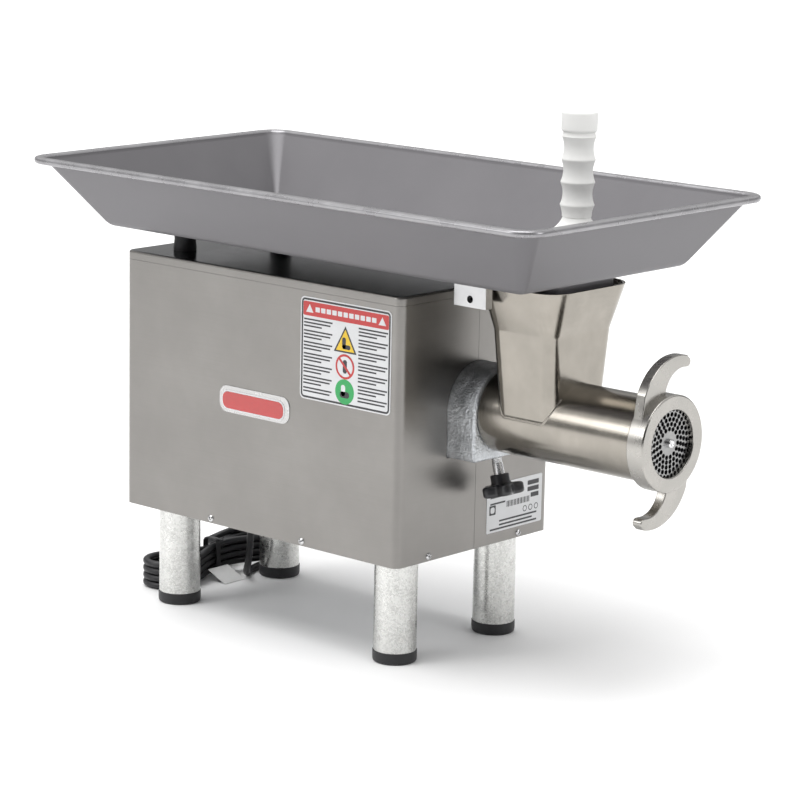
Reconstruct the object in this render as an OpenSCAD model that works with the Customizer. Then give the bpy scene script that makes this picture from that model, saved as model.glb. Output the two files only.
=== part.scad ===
// Electric meat grinder for a counter top, with a size 22 grinding head.
// A sheet-metal body on four tube legs holds a motor and a two-stage gearbox.
// The gearbox turns the auger in a stainless head, which hangs in a cast hub on the body's front.
// A deep tray stands on the body and over the head's neck.
// +X runs along the auger and out of the head, +Z is up, and z = 0 is the counter.
// The origin is at the bottom centre of the grinder's box, without its mains cord.

/* [Body] */
// Length of the sheet-metal body
body_l = 430; // [425:1:450]
// Width of the sheet-metal body
body_w = 260; // [256:1:290]
// Height of the sheet-metal body
body_h = 301; // [296:1:320]
// Radius of the body's upright edges
body_r = 10; // [6:1:14]
// Thickness of the covers' sheet
sheet = 1.5; // [1.2:0.1:2]
// Height of the top cover's turned-down lip
lid_lip = 10; // [8:1:14]

/* [Legs] */
// Clear height under the body
leg_h = 120; // [110:1:140]
// Outside diameter of a leg tube
leg_d = 48.5; // [44:0.5:50]
// Distance from the body's front face to the front legs
leg_front = 40; // [36:1:60]
// Distance between the front and the rear legs
leg_pitch = 344; // [330:1:350]
// Half the distance between the left and the right legs
leg_side = 85; // [80:1:90]
// Height of a rubber foot
foot_h = 13.5; // [10:0.5:16]

/* [Tray] */
// Length of the tray over its rim
tray_l = 757; // [750:1:780]
// Width of the tray over its rim
tray_w = 416; // [400:1:430]
// Length of the tray's flat floor
floor_l = 625; // [610:1:635]
// Width of the tray's flat floor
floor_w = 281; // [270:1:290]
// Height from the floor's underside to the rim's underside
tray_rise = 72; // [66:1:80]
// Width of the rim's rolled edge
rim_w = 12; // [10:0.5:14]
// Height of the rim's rolled edge
rim_h = 8; // [6:0.5:10]
// Thickness of the tray's metal
tray_t = 2.5; // [2:0.1:3]
// Gap between the body's top and the tray's underside
tray_gap = 26.8; // [24:0.1:30]

/* [Head] */
// Height of the auger's axis above the body's underside
axis_rise = 165.5; // [164:0.5:168]
// Outside diameter of the barrel
barrel_d = 92; // [91.5:0.5:93]
// Bore of the barrel
barrel_bore = 76; // [75.6:0.1:76.4]
// Distance from the body's front face to the ring nut's front face
ring_reach = 271; // [269:1:273]
// Outside diameter of the ring nut
ring_d = 105.4; // [104:0.2:108]
// Length of the ring nut
ring_w = 22; // [21:0.5:23]
// Diameter of the ring nut's front opening
ring_open = 73; // [70:0.5:75]
// Diameter of the grinding plate
plate_d = 82; // [81.6:0.1:82.2]
// Diameter of a hole in the grinding plate
plate_hole = 4.5; // [3:0.5:4.5]
// Distance from the body's front face to the neck's centre
neck_x = 103; // [102:1:104]

/* [Pusher] */
// Diameter of the pusher's plunger
plunger_d = 42; // [40:1:42]
// Diameter of the pusher's guard
guard_d = 80; // [76:1:82]
// Height of the pusher's top above the counter
pusher_top = 622; // [612:1:632]

/* [Controls] */
// Travel of a push button
button_travel = 3; // [2:0.5:4]
// Diameter of a push button
button_d = 22; // [18:1:24]

/* [Cord] */
// Diameter of the mains cord
cord_d = 8.6; // [8.6]

/* [Hidden] */
$fn = 64;

// Places along X are given from the body's front face, which stands at x_front.
tray_back = 519;
x_front = (tray_back - ring_reach) / 2;
body_z = leg_h;
body_top = body_z + body_h;
axis_z = body_z + axis_rise;
tray_z = body_top + tray_gap;
clear = 0.3;
run_fit = 0.05;
eps = 0.01;

// The gear train: the countershaft lies under the main shaft, and the motor between them.
gear_teeth = 45;
pinion_teeth = 15;
main_module = 2.5;
motor_module = 2;
main_centres = main_module * (gear_teeth + pinion_teeth) / 2;
motor_centres = motor_module * (gear_teeth + pinion_teeth) / 2;
counter_z = axis_z - main_centres;
motor_z = counter_z + motor_centres;
tooth_top = 0.8;
tooth_root = 1.25;
tooth_thin = 0.24;
pressure = 20;

// Gearbox: its front face, its depth and its two round ends.
box_front = -14;
box_back = -100;
box_wall = 8;
box_main_r = 68.5;
box_counter_r = 57;
motor_front = -112;
motor_back = -262;
motor_r = 82;

/* ---- shared shapes ---- */

// Everything is drawn from the body's front face and moved here to the part's own origin.
module place() { translate([x_front, 0, 0]) children(); }

// A solid cylinder along X, from x0 to x1.
module rod(r, x0, x1, y = 0, z = axis_z) {
  translate([x0, y, z]) rotate([0, 90, 0]) cylinder(r = r, h = x1 - x0);
}

// A tube along X, from x0 to x1.
module pipe(r_out, r_in, x0, x1, y = 0, z = axis_z) {
  difference() {
    rod(r_out, x0, x1, y, z);
    rod(r_in, x0 - 1, x1 + 1, y, z);
  }
}

// A flat outline with true round corners, centred.
module round_rect(l, w, r) {
  square([l - 2 * r, w], center = true);
  square([l, w - 2 * r], center = true);
  for (sx = [-1, 1], sy = [-1, 1])
    translate([sx * (l / 2 - r), sy * (w / 2 - r)]) circle(r = r);
}

// A flat shape in the YZ plane, extruded from x0 to x1.
module across(x0, x1) { translate([x0, 0, 0]) rotate([90, 0, 90]) linear_extrude(x1 - x0) children(); }

// A thin slice for hulls: a rounded rectangle at height z.
module slice(l, w, r, z, x = 0) {
  for (sx = [-1, 1], sy = [-1, 1])
    translate([x + sx * (l / 2 - r), sy * (w / 2 - r), z]) cylinder(r = r, h = eps, $fn = 32);
}

/* ---- gears ---- */

function involute(a) = tan(a) - a * PI / 180;
// Half the angle that a tooth takes at radius rho.
function half_tooth(n, m, rho) =
  let (rp = m * n / 2, rb = rp * cos(pressure))
  ((PI * m / 2 - tooth_thin) / 2 / rp + involute(pressure) - involute(acos(min(1, rb / rho)))) * 180 / PI;
function flank(n, m, steps = 3) =
  let (rb = m * n / 2 * cos(pressure), ra = m * (n / 2 + tooth_top), rr = m * (n / 2 - tooth_root))
  let (low = max(rb, rr))
  concat([[rr, half_tooth(n, m, low)]],
         [for (i = [0:steps]) let (rho = low + (ra - low) * i / steps) [rho, half_tooth(n, m, rho)]]);
function gear_points(n, m, turn) =
  let (f = flank(n, m), k = len(f))
  [for (t = [0:n - 1]) let (a = turn + 360 * t / n)
     each concat([for (i = [0:k - 1]) f[i][0] * [cos(a - f[i][1]), sin(a - f[i][1])]],
                 [for (i = [k - 1:-1:0]) f[i][0] * [cos(a + f[i][1]), sin(a + f[i][1])]])];

// A spur gear on the axis at height z, with a tooth at the angle turn.
module spur(n, m, turn, x0, x1, z) {
  translate([0, 0, z]) across(x0, x1) polygon(gear_points(n, m, turn));
}

/* ---- body ---- */

module body_ring(inset_out, inset_in, z0, z1) {
  translate([-body_l / 2, 0, z0]) linear_extrude(z1 - z0) difference() {
    round_rect(body_l - 2 * inset_out, body_w - 2 * inset_out, body_r - inset_out / 2);
    round_rect(body_l - 2 * inset_in, body_w - 2 * inset_in, body_r - inset_in / 2);
  }
}

screw_z = body_z + 5.5;
side_screws = [-body_l / 2 - 72, -body_l / 2 + 72];
end_screws = 77;
panel_w = 214;
panel_z0 = body_z + 16;
panel_z1 = body_top - 22;
panel_screw_y = panel_w / 2 - 9;
panel_screw_z = [panel_z0 + 12, panel_z1 - 12];

// The clearance holes of every sheet-metal screw.
module screw_holes(d) {
  for (x = side_screws) translate([x, 0, screw_z]) rotate([90, 0, 0]) cylinder(d = d, h = body_w + 20, center = true);
  for (y = [-end_screws, end_screws]) rod(d / 2, -body_l - 20, 20, y, screw_z);
  for (y = [-panel_screw_y, panel_screw_y], z = panel_screw_z) rod(d / 2, -body_l - 20, -body_l + 20, y, z);
}

// The hole that the drive hub passes through, larger than the hub by gap.
module hub_outline(gap) {
  translate([0, axis_z]) circle(r = hub_w / 2 + gap);
  translate([-hub_w / 2 - gap, hub_z - gap]) square([hub_w + 2 * gap, axis_z - hub_z + gap]);
}

// One of the two covers: a side, half the front and a strip of the back.
module side_cover(side) {
  seam = 0.2;
  difference() {
    union() {
      body_ring(0, sheet, body_z, body_top - lid_lip - clear);
      body_ring(sheet, sheet + 1.5, body_top - lid_lip - 12, body_top - lid_lip - clear);
      body_ring(sheet + clear, sheet + 1.5, body_top - lid_lip - clear, body_top - 4);
    }
    translate([-body_l - 10, side > 0 ? -body_w : -seam, body_z - 5]) cube([body_l + 20, body_w + seam, body_h + 10]);
    across(-10, 10) hub_outline(0.4);
    translate([-body_l - 5, -panel_w / 2 + 18, panel_z0 + 10]) cube([15, panel_w - 36, panel_z1 - panel_z0 - 20]);
    screw_holes(4.4);
    if (side > 0)
      translate([switch_x, body_w / 2, switch_z]) cube([36, 20, 70], center = true);
  }
}

module left_cover() { color([0.66, 0.65, 0.63]) place() side_cover(-1); }
module right_cover() { color([0.63, 0.62, 0.60]) place() side_cover(1); }

module top_cover() {
  color([0.58, 0.59, 0.60]) place() {
    body_ring(0, sheet, body_top - lid_lip, body_top - sheet);
    translate([-body_l / 2, 0, body_top - sheet]) linear_extrude(sheet) round_rect(body_l, body_w, body_r);
  }
}

module base_pan() {
  t = 2.5;
  gap = sheet + 0.2;
  color([0.55, 0.56, 0.57]) place() difference() {
    union() {
      translate([-body_l / 2, 0, body_z]) linear_extrude(t) round_rect(body_l - 2 * gap, body_w - 2 * gap, body_r - 2);
      body_ring(gap, gap + 2, body_z + t, body_z + 28);
    }
    screw_holes(4.1);
    at_legs() translate([0, 0, body_z - 1]) cylinder(d = 20.4, h = t + 2);
    translate([gland_x, gland_y, body_z - 1]) cylinder(d = 16.2, h = t + 2);
  }
}

module rear_panel() {
  slot_w = 64;
  color([0.62, 0.62, 0.61]) place() difference() {
    translate([-body_l - sheet, 0, 0]) across(0, sheet)
      translate([0, (panel_z0 + panel_z1) / 2]) round_rect(panel_w, panel_z1 - panel_z0, 6);
    screw_holes(4.4);
    for (y = [-38, 38], k = [0:8])
      translate([-body_l, y, panel_z0 + 60 + 16 * k]) cube([10, slot_w, 5], center = true);
  }
}

// A pan-head screw that points along -X at the origin, with its head's back on the sheet.
module pan_screw() {
  rotate([0, -90, 0]) translate([0, 0, -2.6]) {
    cylinder(d1 = 6.4, d2 = 8.4, h = 1);
    translate([0, 0, 1]) cylinder(d = 8.4, h = 1.6);
    translate([0, 0, 2.6]) cylinder(d = 4, h = 8);
  }
}

module cover_screws() {
  color([0.78, 0.78, 0.78]) place() {
    for (x = side_screws, s = [-1, 1])
      translate([x, s * body_w / 2, screw_z]) rotate([0, 0, s * 90]) pan_screw();
    for (y = [-end_screws, end_screws]) {
      translate([0, y, screw_z]) pan_screw();
      translate([-body_l, y, screw_z]) rotate([0, 0, 180]) pan_screw();
    }
    for (y = [-panel_screw_y, panel_screw_y], z = panel_screw_z)
      translate([-body_l - sheet, y, z]) rotate([0, 0, 180]) pan_screw();
  }
}

/* ---- legs ---- */

module at_legs() {
  for (x = [-leg_front, -leg_front - leg_pitch], y = [-leg_side, leg_side])
    translate([x, y, 0]) children();
}

module leg_tubes() {
  top_t = 4;
  color([0.80, 0.80, 0.78]) place() at_legs() {
    difference() {
      translate([0, 0, foot_h]) cylinder(d = leg_d, h = leg_h - foot_h);
      translate([0, 0, foot_h - 1]) cylinder(d = leg_d - 3, h = leg_h - foot_h + 1 - top_t);
    }
    translate([0, 0, leg_h]) cylinder(d = 20, h = 17);
  }
}

module foot_caps() {
  color([0.10, 0.10, 0.11]) place() at_legs() {
    cylinder(d = leg_d + 1.7, h = foot_h);
    translate([0, 0, foot_h]) cylinder(d = leg_d - 3, h = 16);
  }
}

// A threaded socket on the pan takes the top of each leg.
module leg_flanges() {
  color([0.50, 0.51, 0.52]) place() at_legs() difference() {
    union() {
      translate([0, 0, body_z + 2.5]) cylinder(d = 64, h = 4);
      translate([0, 0, body_z + 2.5]) cylinder(d = 40, h = 16);
    }
    translate([0, 0, body_z]) cylinder(d = 20, h = 40);
  }
}

/* ---- motor ---- */

module motor_cradle() {
  color([0.35, 0.36, 0.38]) place() difference() {
    for (x = [-150, -234])
      translate([x, -60, body_z + 2.5]) cube([8, 120, motor_z - 30 - body_z - 2.5]);
    rod(motor_r + 0.01, -300, -100, 0, motor_z);
  }
}

module motor_shell() {
  ribs = 28;
  color([0.30, 0.33, 0.38]) place() difference() {
    union() {
      rod(motor_r - 4, motor_back, motor_front, 0, motor_z);
      translate([0, 0, motor_z]) across(motor_back + 8, motor_front - 8)
        for (k = [0:ribs - 1]) rotate(360 * k / ribs) translate([0, -1.5]) square([motor_r, 3]);
    }
    rod(motor_r - 8, motor_back - 1, motor_front + 1, 0, motor_z);
  }
}

module motor_bell(x0, x1, pocket0, pocket1) {
  difference() {
    rod(motor_r - 2, x0, x1, 0, motor_z);
    rod(20, pocket0, pocket1, 0, motor_z);
    rod(10.5, x0 - 1, x1 + 1, 0, motor_z);
  }
}

module motor_front_bell() { color([0.42, 0.44, 0.47]) place() motor_bell(motor_front, box_back, motor_front - 1, -102); }
module motor_rear_bell() { color([0.42, 0.44, 0.47]) place() motor_bell(-274, motor_back, -272, motor_back + 1); }

module stator_core() { color([0.45, 0.45, 0.46]) place() pipe(motor_r - 8, 42, -235, -140, 0, motor_z); }

module windings() {
  color([0.72, 0.40, 0.18]) place() {
    pipe(68, 46, -254, -235, 0, motor_z);
    pipe(68, 46, -140, -121, 0, motor_z);
  }
}

module rotor_core() { color([0.60, 0.60, 0.62]) place() pipe(41.5, 10, -235, -140, 0, motor_z); }

// The motor's stepped shaft ends in the first pinion, which is cut on it.
module motor_shaft() {
  color([0.72, 0.72, 0.73]) place() {
    rod(8, -300, -255, 0, motor_z);
    rod(10, -255, -119, 0, motor_z);
    rod(8, -119, -83, 0, motor_z);
    spur(pinion_teeth, motor_module, -90 + 180 / pinion_teeth, -83, -65, motor_z);
  }
}

module cooling_fan() {
  blades = 7;
  color([0.15, 0.15, 0.17]) place() difference() {
    union() {
      rod(18, -298, -280, 0, motor_z);
      rod(66, -282.5, -280, 0, motor_z);
      translate([0, 0, motor_z]) across(-298, -282.5)
        for (k = [0:blades - 1]) rotate(360 * k / blades) translate([17, -1.2]) square([48, 2.4]);
    }
    rod(8, -310, -270, 0, motor_z);
  }
}

module fan_cover() {
  color([0.30, 0.33, 0.38]) place() difference() {
    rod(motor_r - 2, -308, -274, 0, motor_z);
    rod(motor_r - 4, -305.5, -270, 0, motor_z);
    translate([0, 0, motor_z]) across(-312, -300)
      for (k = [0:11]) rotate(30 * k) translate([24, -3]) square([42, 6]);
  }
}

module capacitor() {
  r = 23;
  z = motor_z + motor_r + r + 3;
  color([0.12, 0.12, 0.13]) place() {
    rod(r, -238, -142, 0, z);
    difference() {
      translate([-200, -r - 4, motor_z + motor_r - 3]) cube([20, 2 * r + 8, r + 4]);
      rod(r, -250, -130, 0, z);
      rod(motor_r, -250, -130, 0, motor_z);
    }
  }
}

/* ---- gearbox ---- */

module box_outline(grow) {
  translate([0, axis_z]) circle(r = box_main_r + grow);
  translate([0, counter_z]) circle(r = box_counter_r + grow);
  translate([-box_counter_r - grow, counter_z]) square([2 * (box_counter_r + grow), main_centres]);
}

module gearbox_foot() {
  color([0.35, 0.36, 0.38]) place() difference() {
    translate([-80, -40, body_z + 2.5]) cube([40, 80, counter_z - 44 - body_z]);
    rod(box_counter_r, -120, 0, 0, counter_z);
  }
}

module gearbox_housing() {
  color([0.48, 0.50, 0.52]) place() difference() {
    across(box_back, box_front) box_outline(0);
    across(box_back + 12, box_front + 1) box_outline(-box_wall);
    rod(17.5, box_back + 2, box_back + 20, 0, counter_z);
    rod(15, box_back - 1, box_back + 20, 0, motor_z);
  }
}

module gearbox_cover() {
  color([0.50, 0.52, 0.54]) place() difference() {
    union() {
      across(box_front, -2) box_outline(0);
      rod(37, box_front - 10, box_front, 0, axis_z);
      rod(23, box_front - 10, box_front, 0, counter_z);
    }
    rod(31, box_front - 11, -8, 0, axis_z);
    rod(24, -9, 0, 0, axis_z);
    rod(17.5, box_front - 11, -12, 0, counter_z);
  }
}

module bearing_plate() {
  color([0.55, 0.56, 0.57]) place() difference() {
    across(-62, -52) box_outline(-box_wall);
    rod(23, -70, -40, 0, axis_z);
    rod(13, -70, -40, 0, counter_z);
  }
}

module bearings() {
  color([0.80, 0.80, 0.82]) place() {
    pipe(31, 15 + run_fit, -24, -8);
    pipe(23, 12.5 + run_fit, -62, -52);
    pipe(17.5, 10 + run_fit, -24, -12, 0, counter_z);
    pipe(17.5, 10 + run_fit, -98, -88, 0, counter_z);
    pipe(20, 8 + run_fit, -112, -102, 0, motor_z);
    pipe(20, 8 + run_fit, -272, -262, 0, motor_z);
  }
}

module oil_seals() {
  color([0.12, 0.10, 0.10]) place() {
    pipe(24, 15 + run_fit, -8, -2);
    pipe(15, 8 + run_fit, box_back, box_back + 8, 0, motor_z);
  }
}

// The countershaft has the second pinion cut on it.
module countershaft() {
  color([0.70, 0.70, 0.71]) place() {
    rod(10, -97.5, -50, 0, counter_z);
    rod(10, -25, -12.5, 0, counter_z);
    spur(pinion_teeth, main_module, 90 + 180 / pinion_teeth, -50, -25, counter_z);
  }
}

// A gear wheel bored for its shaft, with round lightening holes.
module wheel(m, turn, x0, x1, z, shaft_r) {
  r = m * gear_teeth / 2;
  difference() {
    spur(gear_teeth, m, turn, x0, x1, z);
    rod(shaft_r, x0 - 1, x1 + 1, 0, z);
    for (k = [0:5]) translate([0, 0, z]) rotate([60 * k, 0, 0]) rod(r * 0.17, x0 - 1, x1 + 1, 0, r * 0.6);
  }
}

module counter_gear() { color([0.66, 0.64, 0.58]) place() wheel(motor_module, 90, -82, -66, counter_z, 10); }
module main_gear() { color([0.66, 0.64, 0.58]) place() wheel(main_module, -90, -48, -26, axis_z, 15); }

tang = 18;

module output_shaft() {
  color([0.72, 0.72, 0.73]) place() difference() {
    union() {
      rod(12.5, -62, -50);
      rod(15, -50, 3);
    }
    translate([-19, -tang / 2, axis_z - tang / 2]) cube([30, tang, tang]);
  }
}

/* ---- drive hub and clamp ---- */

hub_w = 100;
hub_reach = 39;
hub_z = axis_z - 53;
spigot_r = 42;
stud_d = 12;
stud_tilt = 15.3;
// The clamp screw's axis leaves the hub's underside here.
stud_x = 29.7;
stud_z = hub_z - 3;

// Draws in the clamp screw's frame, whose +Z runs down the screw and out of the hub.
module at_clamp() { translate([stud_x, 0, stud_z]) rotate([0, 180 - stud_tilt, 0]) children(); }

module drive_hub() {
  color([0.55, 0.57, 0.60]) place() difference() {
    across(-2, hub_reach) hub_outline(0);
    rod(spigot_r + run_fit, 4, hub_reach + 1);
    rod(spigot_r + 2, hub_reach - 1.5, hub_reach + 1);
    rod(16.4, -3, 5);
    at_clamp() translate([0, 0, -30]) cylinder(d = stud_d + 0.1, h = 60);
  }
}

module clamp_stud() {
  color([0.82, 0.82, 0.82]) place() at_clamp() translate([0, 0, -12.5]) cylinder(d = stud_d, h = 40.5);
}

module clamp_knob() {
  lobes = 5;
  color([0.09, 0.09, 0.10]) place() at_clamp() difference() {
    union() {
      translate([0, 0, 18]) cylinder(d = 21.5, h = 14);
      translate([0, 0, 29]) linear_extrude(13) {
        circle(r = 17.5);
        for (k = [0:lobes - 1]) rotate(360 * k / lobes) translate([17, 0]) circle(r = 7.5);
      }
    }
    translate([0, 0, -12.5]) cylinder(d = stud_d, h = 40.5);
  }
}

/* ---- grinding head ---- */

barrel_r = barrel_d / 2;
bore_r = barrel_bore / 2;
ring_x0 = ring_reach - ring_w;
plate_x1 = ring_reach - 5.3;
plate_x0 = plate_x1 - 9;
mouth_x = ring_reach - 6;
knife_x0 = plate_x0 - 6;
neck_join_z = axis_z + 4.5;
neck_crease_z = axis_z + 101.5;
neck_top_z = axis_z + 151.5;
throat_z = axis_z + 14.5;

module neck_shell(wall, low_z) {
  hull() {
    slice(80 - 2 * wall, 92 - 2 * wall, 9, low_z, neck_x);
    slice(87.6 - 2 * wall, 112 - 2 * wall, 9, neck_crease_z, neck_x);
  }
  hull() {
    slice(87.6 - 2 * wall, 112 - 2 * wall, 9, neck_crease_z, neck_x);
    slice(118 - 2 * wall, 142 - 2 * wall, 14, neck_top_z + (wall > 0 ? 0.1 : 0), neck_x);
  }
}

module grinder_head() {
  color([0.72, 0.70, 0.66]) place() difference() {
    union() {
      rod(barrel_r, hub_reach + clear, mouth_x);
      rod(spigot_r, 4 + clear, hub_reach + clear);
      neck_shell(0, neck_join_z);
    }
    neck_shell(3, throat_z);
    rod(bore_r, 12, mouth_x + 1);
    rod(20, 0, 15);
    rod(plate_d / 2 + 0.2, plate_x0 - 0.1, mouth_x + 1);
  }
}

module auger_bushing() { color([0.70, 0.52, 0.25]) place() pipe(20, 16 + run_fit, 4 + clear, 12); }

module auger_shank() {
  color([0.74, 0.73, 0.70]) place() {
    translate([-17, -tang / 2, axis_z - tang / 2]) cube([20.5, tang, tang]);
    rod(16, 3.5, 14);
    rod(26, 14, 20);
  }
}

// The auger's worm: one flight round a core, as a profile that turns as it runs forward.
flight_pitch = 46;
flight_half = 24;
core_r = 17;
auger_x0 = 20;
auger_x1 = knife_x0;

module auger() {
  outer = bore_r - 0.6;
  turns = (auger_x1 - auger_x0) / flight_pitch;
  profile = concat([for (a = [-flight_half:12:flight_half]) outer * [cos(a), sin(a)]],
                   [for (a = [flight_half + 12:24:348 - flight_half]) core_r * [cos(a), sin(a)]]);
  color([0.74, 0.73, 0.70]) place() translate([auger_x0, 0, axis_z]) rotate([90, 0, 90])
    linear_extrude(height = auger_x1 - auger_x0, twist = -360 * turns, slices = ceil(12 * turns))
      polygon(profile);
}

pin_r = 4.75;

module auger_pin() {
  color([0.78, 0.76, 0.70]) place() {
    translate([knife_x0, -7, axis_z - 7]) cube([5.8, 14, 14]);
    rod(pin_r, knife_x0 + 5.8, ring_reach - 0.8);
  }
}

module knife() {
  color([0.76, 0.76, 0.76]) place() difference() {
    union() {
      rod(14, knife_x0, plate_x0 - 0.3);
      translate([0, 0, axis_z]) across(knife_x0, plate_x0 - 0.3)
        for (k = [0:3]) rotate(90 * k) polygon([[8, -7], [36, -2], [37, 6], [12, 8]]);
    }
    translate([knife_x0 - 1, -7, axis_z - 7]) cube([20, 14, 14]);
  }
}

// Staggered rings of holes leave a plain land round the centre pin.
hole_rings = [[15.4, 15], [20.6, 20], [25.8, 25], [31.0, 30], [36.2, 36]];

module grinding_plate() {
  color([0.68, 0.68, 0.68]) place() difference() {
    rod(plate_d / 2, plate_x0, plate_x1);
    rod(pin_r + run_fit, plate_x0 - 1, plate_x1 + 1);
    for (i = [0:len(hole_rings) - 1], k = [0:hole_rings[i][1] - 1])
      translate([0, 0, axis_z]) rotate([360 * (k + (i % 2) / 2) / hole_rings[i][1], 0, 0])
        rod(plate_hole / 2, plate_x0 - 1, plate_x1 + 1, 0, hole_rings[i][0]);
  }
}

// The outline of one hook, seen from the front: two arcs that end in a round tip.
hook_in = [13, 45.5];
hook_tip = [33.2, 82.6];
hook_tip_r = 5.2;

function arc(c, r, a0, a1, n) = [for (i = [0:n]) let (a = a0 + (a1 - a0) * i / n) c + r * [cos(a), sin(a)]];

module hook_outline() {
  polygon(concat(
    [[-44, 24]],
    arc([17.5, 30.5], 61.5, 157, 75, 14),
    [hook_tip + [1.2, hook_tip_r - 0.2], hook_tip + [-1, -hook_tip_r]],
    arc([26, 47.5], 30.2, 82, 192, 14),
    [[-2, 30]]
  ));
  translate(hook_tip) circle(r = hook_tip_r);
}

module ring_nut() {
  hook_x0 = ring_x0 + 1;
  hook_x1 = ring_x0 + 13;
  color([0.74, 0.73, 0.71]) place() difference() {
    union() {
      rod(ring_d / 2, ring_x0, ring_reach);
      translate([0, 0, axis_z]) across(hook_x0, hook_x1)
        for (turn = [0, 180]) rotate(turn) hook_outline();
    }
    rod(barrel_r + clear, ring_x0 - 1, plate_x1 + clear);
    rod(ring_open / 2, ring_x0, ring_reach + 1);
  }
}

/* ---- tray ---- */

post_x = -383;
post_y = 80;
post_d = 27;
tray_x = tray_l / 2 - tray_back;
floor_x = tray_x + 3;
spout_l = 92;
spout_w = 104;
rim_z = tray_z + tray_rise;

module tray_posts() {
  color([0.12, 0.12, 0.13]) place() for (y = [-post_y, post_y])
    translate([post_x, y, body_top]) cylinder(d = post_d, h = tray_gap - clear);
}

module tray() {
  top_l = tray_l - 2 * rim_w;
  top_w = tray_w - 2 * rim_w;
  color([0.50, 0.50, 0.51]) place() {
    difference() {
      hull() {
        slice(floor_l, floor_w, 8, tray_z, floor_x);
        slice(top_l + 2 * tray_t, top_w + 2 * tray_t, 20, rim_z + rim_h - 1, tray_x);
      }
      hull() {
        slice(floor_l - 2 * tray_t, floor_w - 2 * tray_t, 7, tray_z + tray_t, floor_x);
        slice(top_l, top_w, 18, rim_z + rim_h, tray_x);
      }
      translate([neck_x, 0, tray_z - 1]) linear_extrude(10) round_rect(spout_l, spout_w, 12);
    }
    translate([tray_x, 0, rim_z]) linear_extrude(rim_h) difference() {
      round_rect(tray_l, tray_w, 30);
      round_rect(top_l + 2 * tray_t - 1, top_w + 2 * tray_t - 1, 19.5);
    }
    translate([neck_x, 0, tray_z - 24]) linear_extrude(24 + tray_t) difference() {
      round_rect(spout_l + 2, spout_w + 2, 13);
      round_rect(spout_l - 2, spout_w - 2, 11);
    }
  }
}

bracket_x = 34;
bracket_y = -84;
bracket_l = 45;
bracket_t = 11;
bracket_h = 35;
bracket_hole = 8;

module at_bracket_hole() { translate([bracket_x + 23, bracket_y, tray_z - 26]) rotate([-90, 0, 0]) children(); }

module tray_bracket() {
  color([0.66, 0.66, 0.66]) place() difference() {
    translate([bracket_x, bracket_y, tray_z - bracket_h]) cube([bracket_l, bracket_t, bracket_h]);
    at_bracket_hole() translate([0, 0, -1]) cylinder(d = bracket_hole, h = bracket_t + 2);
  }
}

module tray_screw() {
  color([0.35, 0.35, 0.36]) place() at_bracket_hole() difference() {
    translate([0, 0, 2.5]) cylinder(d = bracket_hole, h = bracket_t - 2);
    translate([0, 0, 1]) cylinder(d = 4.6, h = 5, $fn = 6);
  }
}

/* ---- pusher ---- */

push_x = 115;
push_y = 21.5;
plunger_z = axis_z + bore_r + 0.6;
guard_z = 486;
grip_z = 508;
ridge_pitch = 24.7;
ridges = 4;
ridge_r = 18.8;
waist_r = 16;

// The grip swells to a ridge at each pitch and falls to a waist between.
function grip_radius(z) = waist_r + (ridge_r - waist_r) * pow(abs(cos(180 * z / ridge_pitch)), 2.2);

module pusher() {
  grip_top = grip_z + ridge_pitch * ridges - 8;
  steps = 40;
  grip = [for (i = [0:steps]) let (h = (grip_top - grip_z) * i / steps)
            [grip_radius(h + ridge_pitch / 2), grip_z + h]];
  color([0.93, 0.93, 0.91]) place() translate([push_x, push_y, 0]) rotate_extrude() polygon(concat(
    [[0, plunger_z], [plunger_d / 2 - 6, plunger_z], [plunger_d / 2 - 2, plunger_z + 6],
     [plunger_d / 2, plunger_z + 14],
     [plunger_d / 2, guard_z - 2], [guard_d / 2, guard_z - 2], [guard_d / 2, guard_z + 3]],
    arc([guard_d / 2 + 2, grip_z + 9], 20, 250, 205, 5),
    grip,
    [[19.5, grip_top + 2], [19.5, pusher_top - 4], [16, pusher_top], [0, pusher_top]]
  ));
}

/* ---- switch ---- */

switch_x = -215;
switch_z = body_z + 190;
button_gap = 34;

module switch_plate() {
  color([0.75, 0.75, 0.74]) place() difference() {
    translate([switch_x, body_w / 2, switch_z]) rotate([-90, 0, 0]) linear_extrude(3) round_rect(58, 96, 6);
    for (s = [-1, 1]) translate([switch_x, body_w / 2 - 1, switch_z + s * button_gap / 2])
      rotate([-90, 0, 0]) cylinder(d = button_d + 0.8, h = 6);
  }
}

module switch_block() {
  color([0.10, 0.10, 0.11]) place() difference() {
    translate([switch_x - 17, body_w / 2 - 42, switch_z - 34]) cube([34, 42, 68]);
    for (s = [-1, 1]) translate([switch_x, body_w / 2 - 12, switch_z + s * button_gap / 2])
      rotate([-90, 0, 0]) cylinder(d = button_d + 0.8, h = 20);
  }
}

module button(s, proud) {
  translate([switch_x, body_w / 2 - 8, switch_z + s * button_gap / 2]) rotate([-90, 0, 0]) {
    cylinder(d = button_d, h = 11 + proud - 1.2);
    translate([0, 0, 9.8 + proud]) cylinder(d1 = button_d, d2 = button_d - 2.4, h = 1.2);
  }
}

module start_button() { color([0.10, 0.50, 0.22]) place() button(1, 3.4); }
module stop_button() { color([0.72, 0.08, 0.07]) place() button(-1, 6); }

/* ---- plates and labels ---- */

// A thin plate on the left side, centred at x and z.
module side_plate(x, z, l, h, r, t) {
  translate([x, -body_w / 2, z]) rotate([90, 0, 0]) linear_extrude(t) round_rect(l, h, r);
}

module badge() {
  color([0.75, 0.12, 0.10]) place() {
    side_plate(-218.5, body_z + 150.5, 110, 31, 12, 0.8);
    translate([0, -0.8, 0]) side_plate(-220, body_z + 149.5, 97, 21, 9, 1.2);
  }
}

module side_label() { color([0.93, 0.93, 0.92]) place() side_plate(-80.5, body_z + 227, 135, 115, 6, 0.4); }

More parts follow.
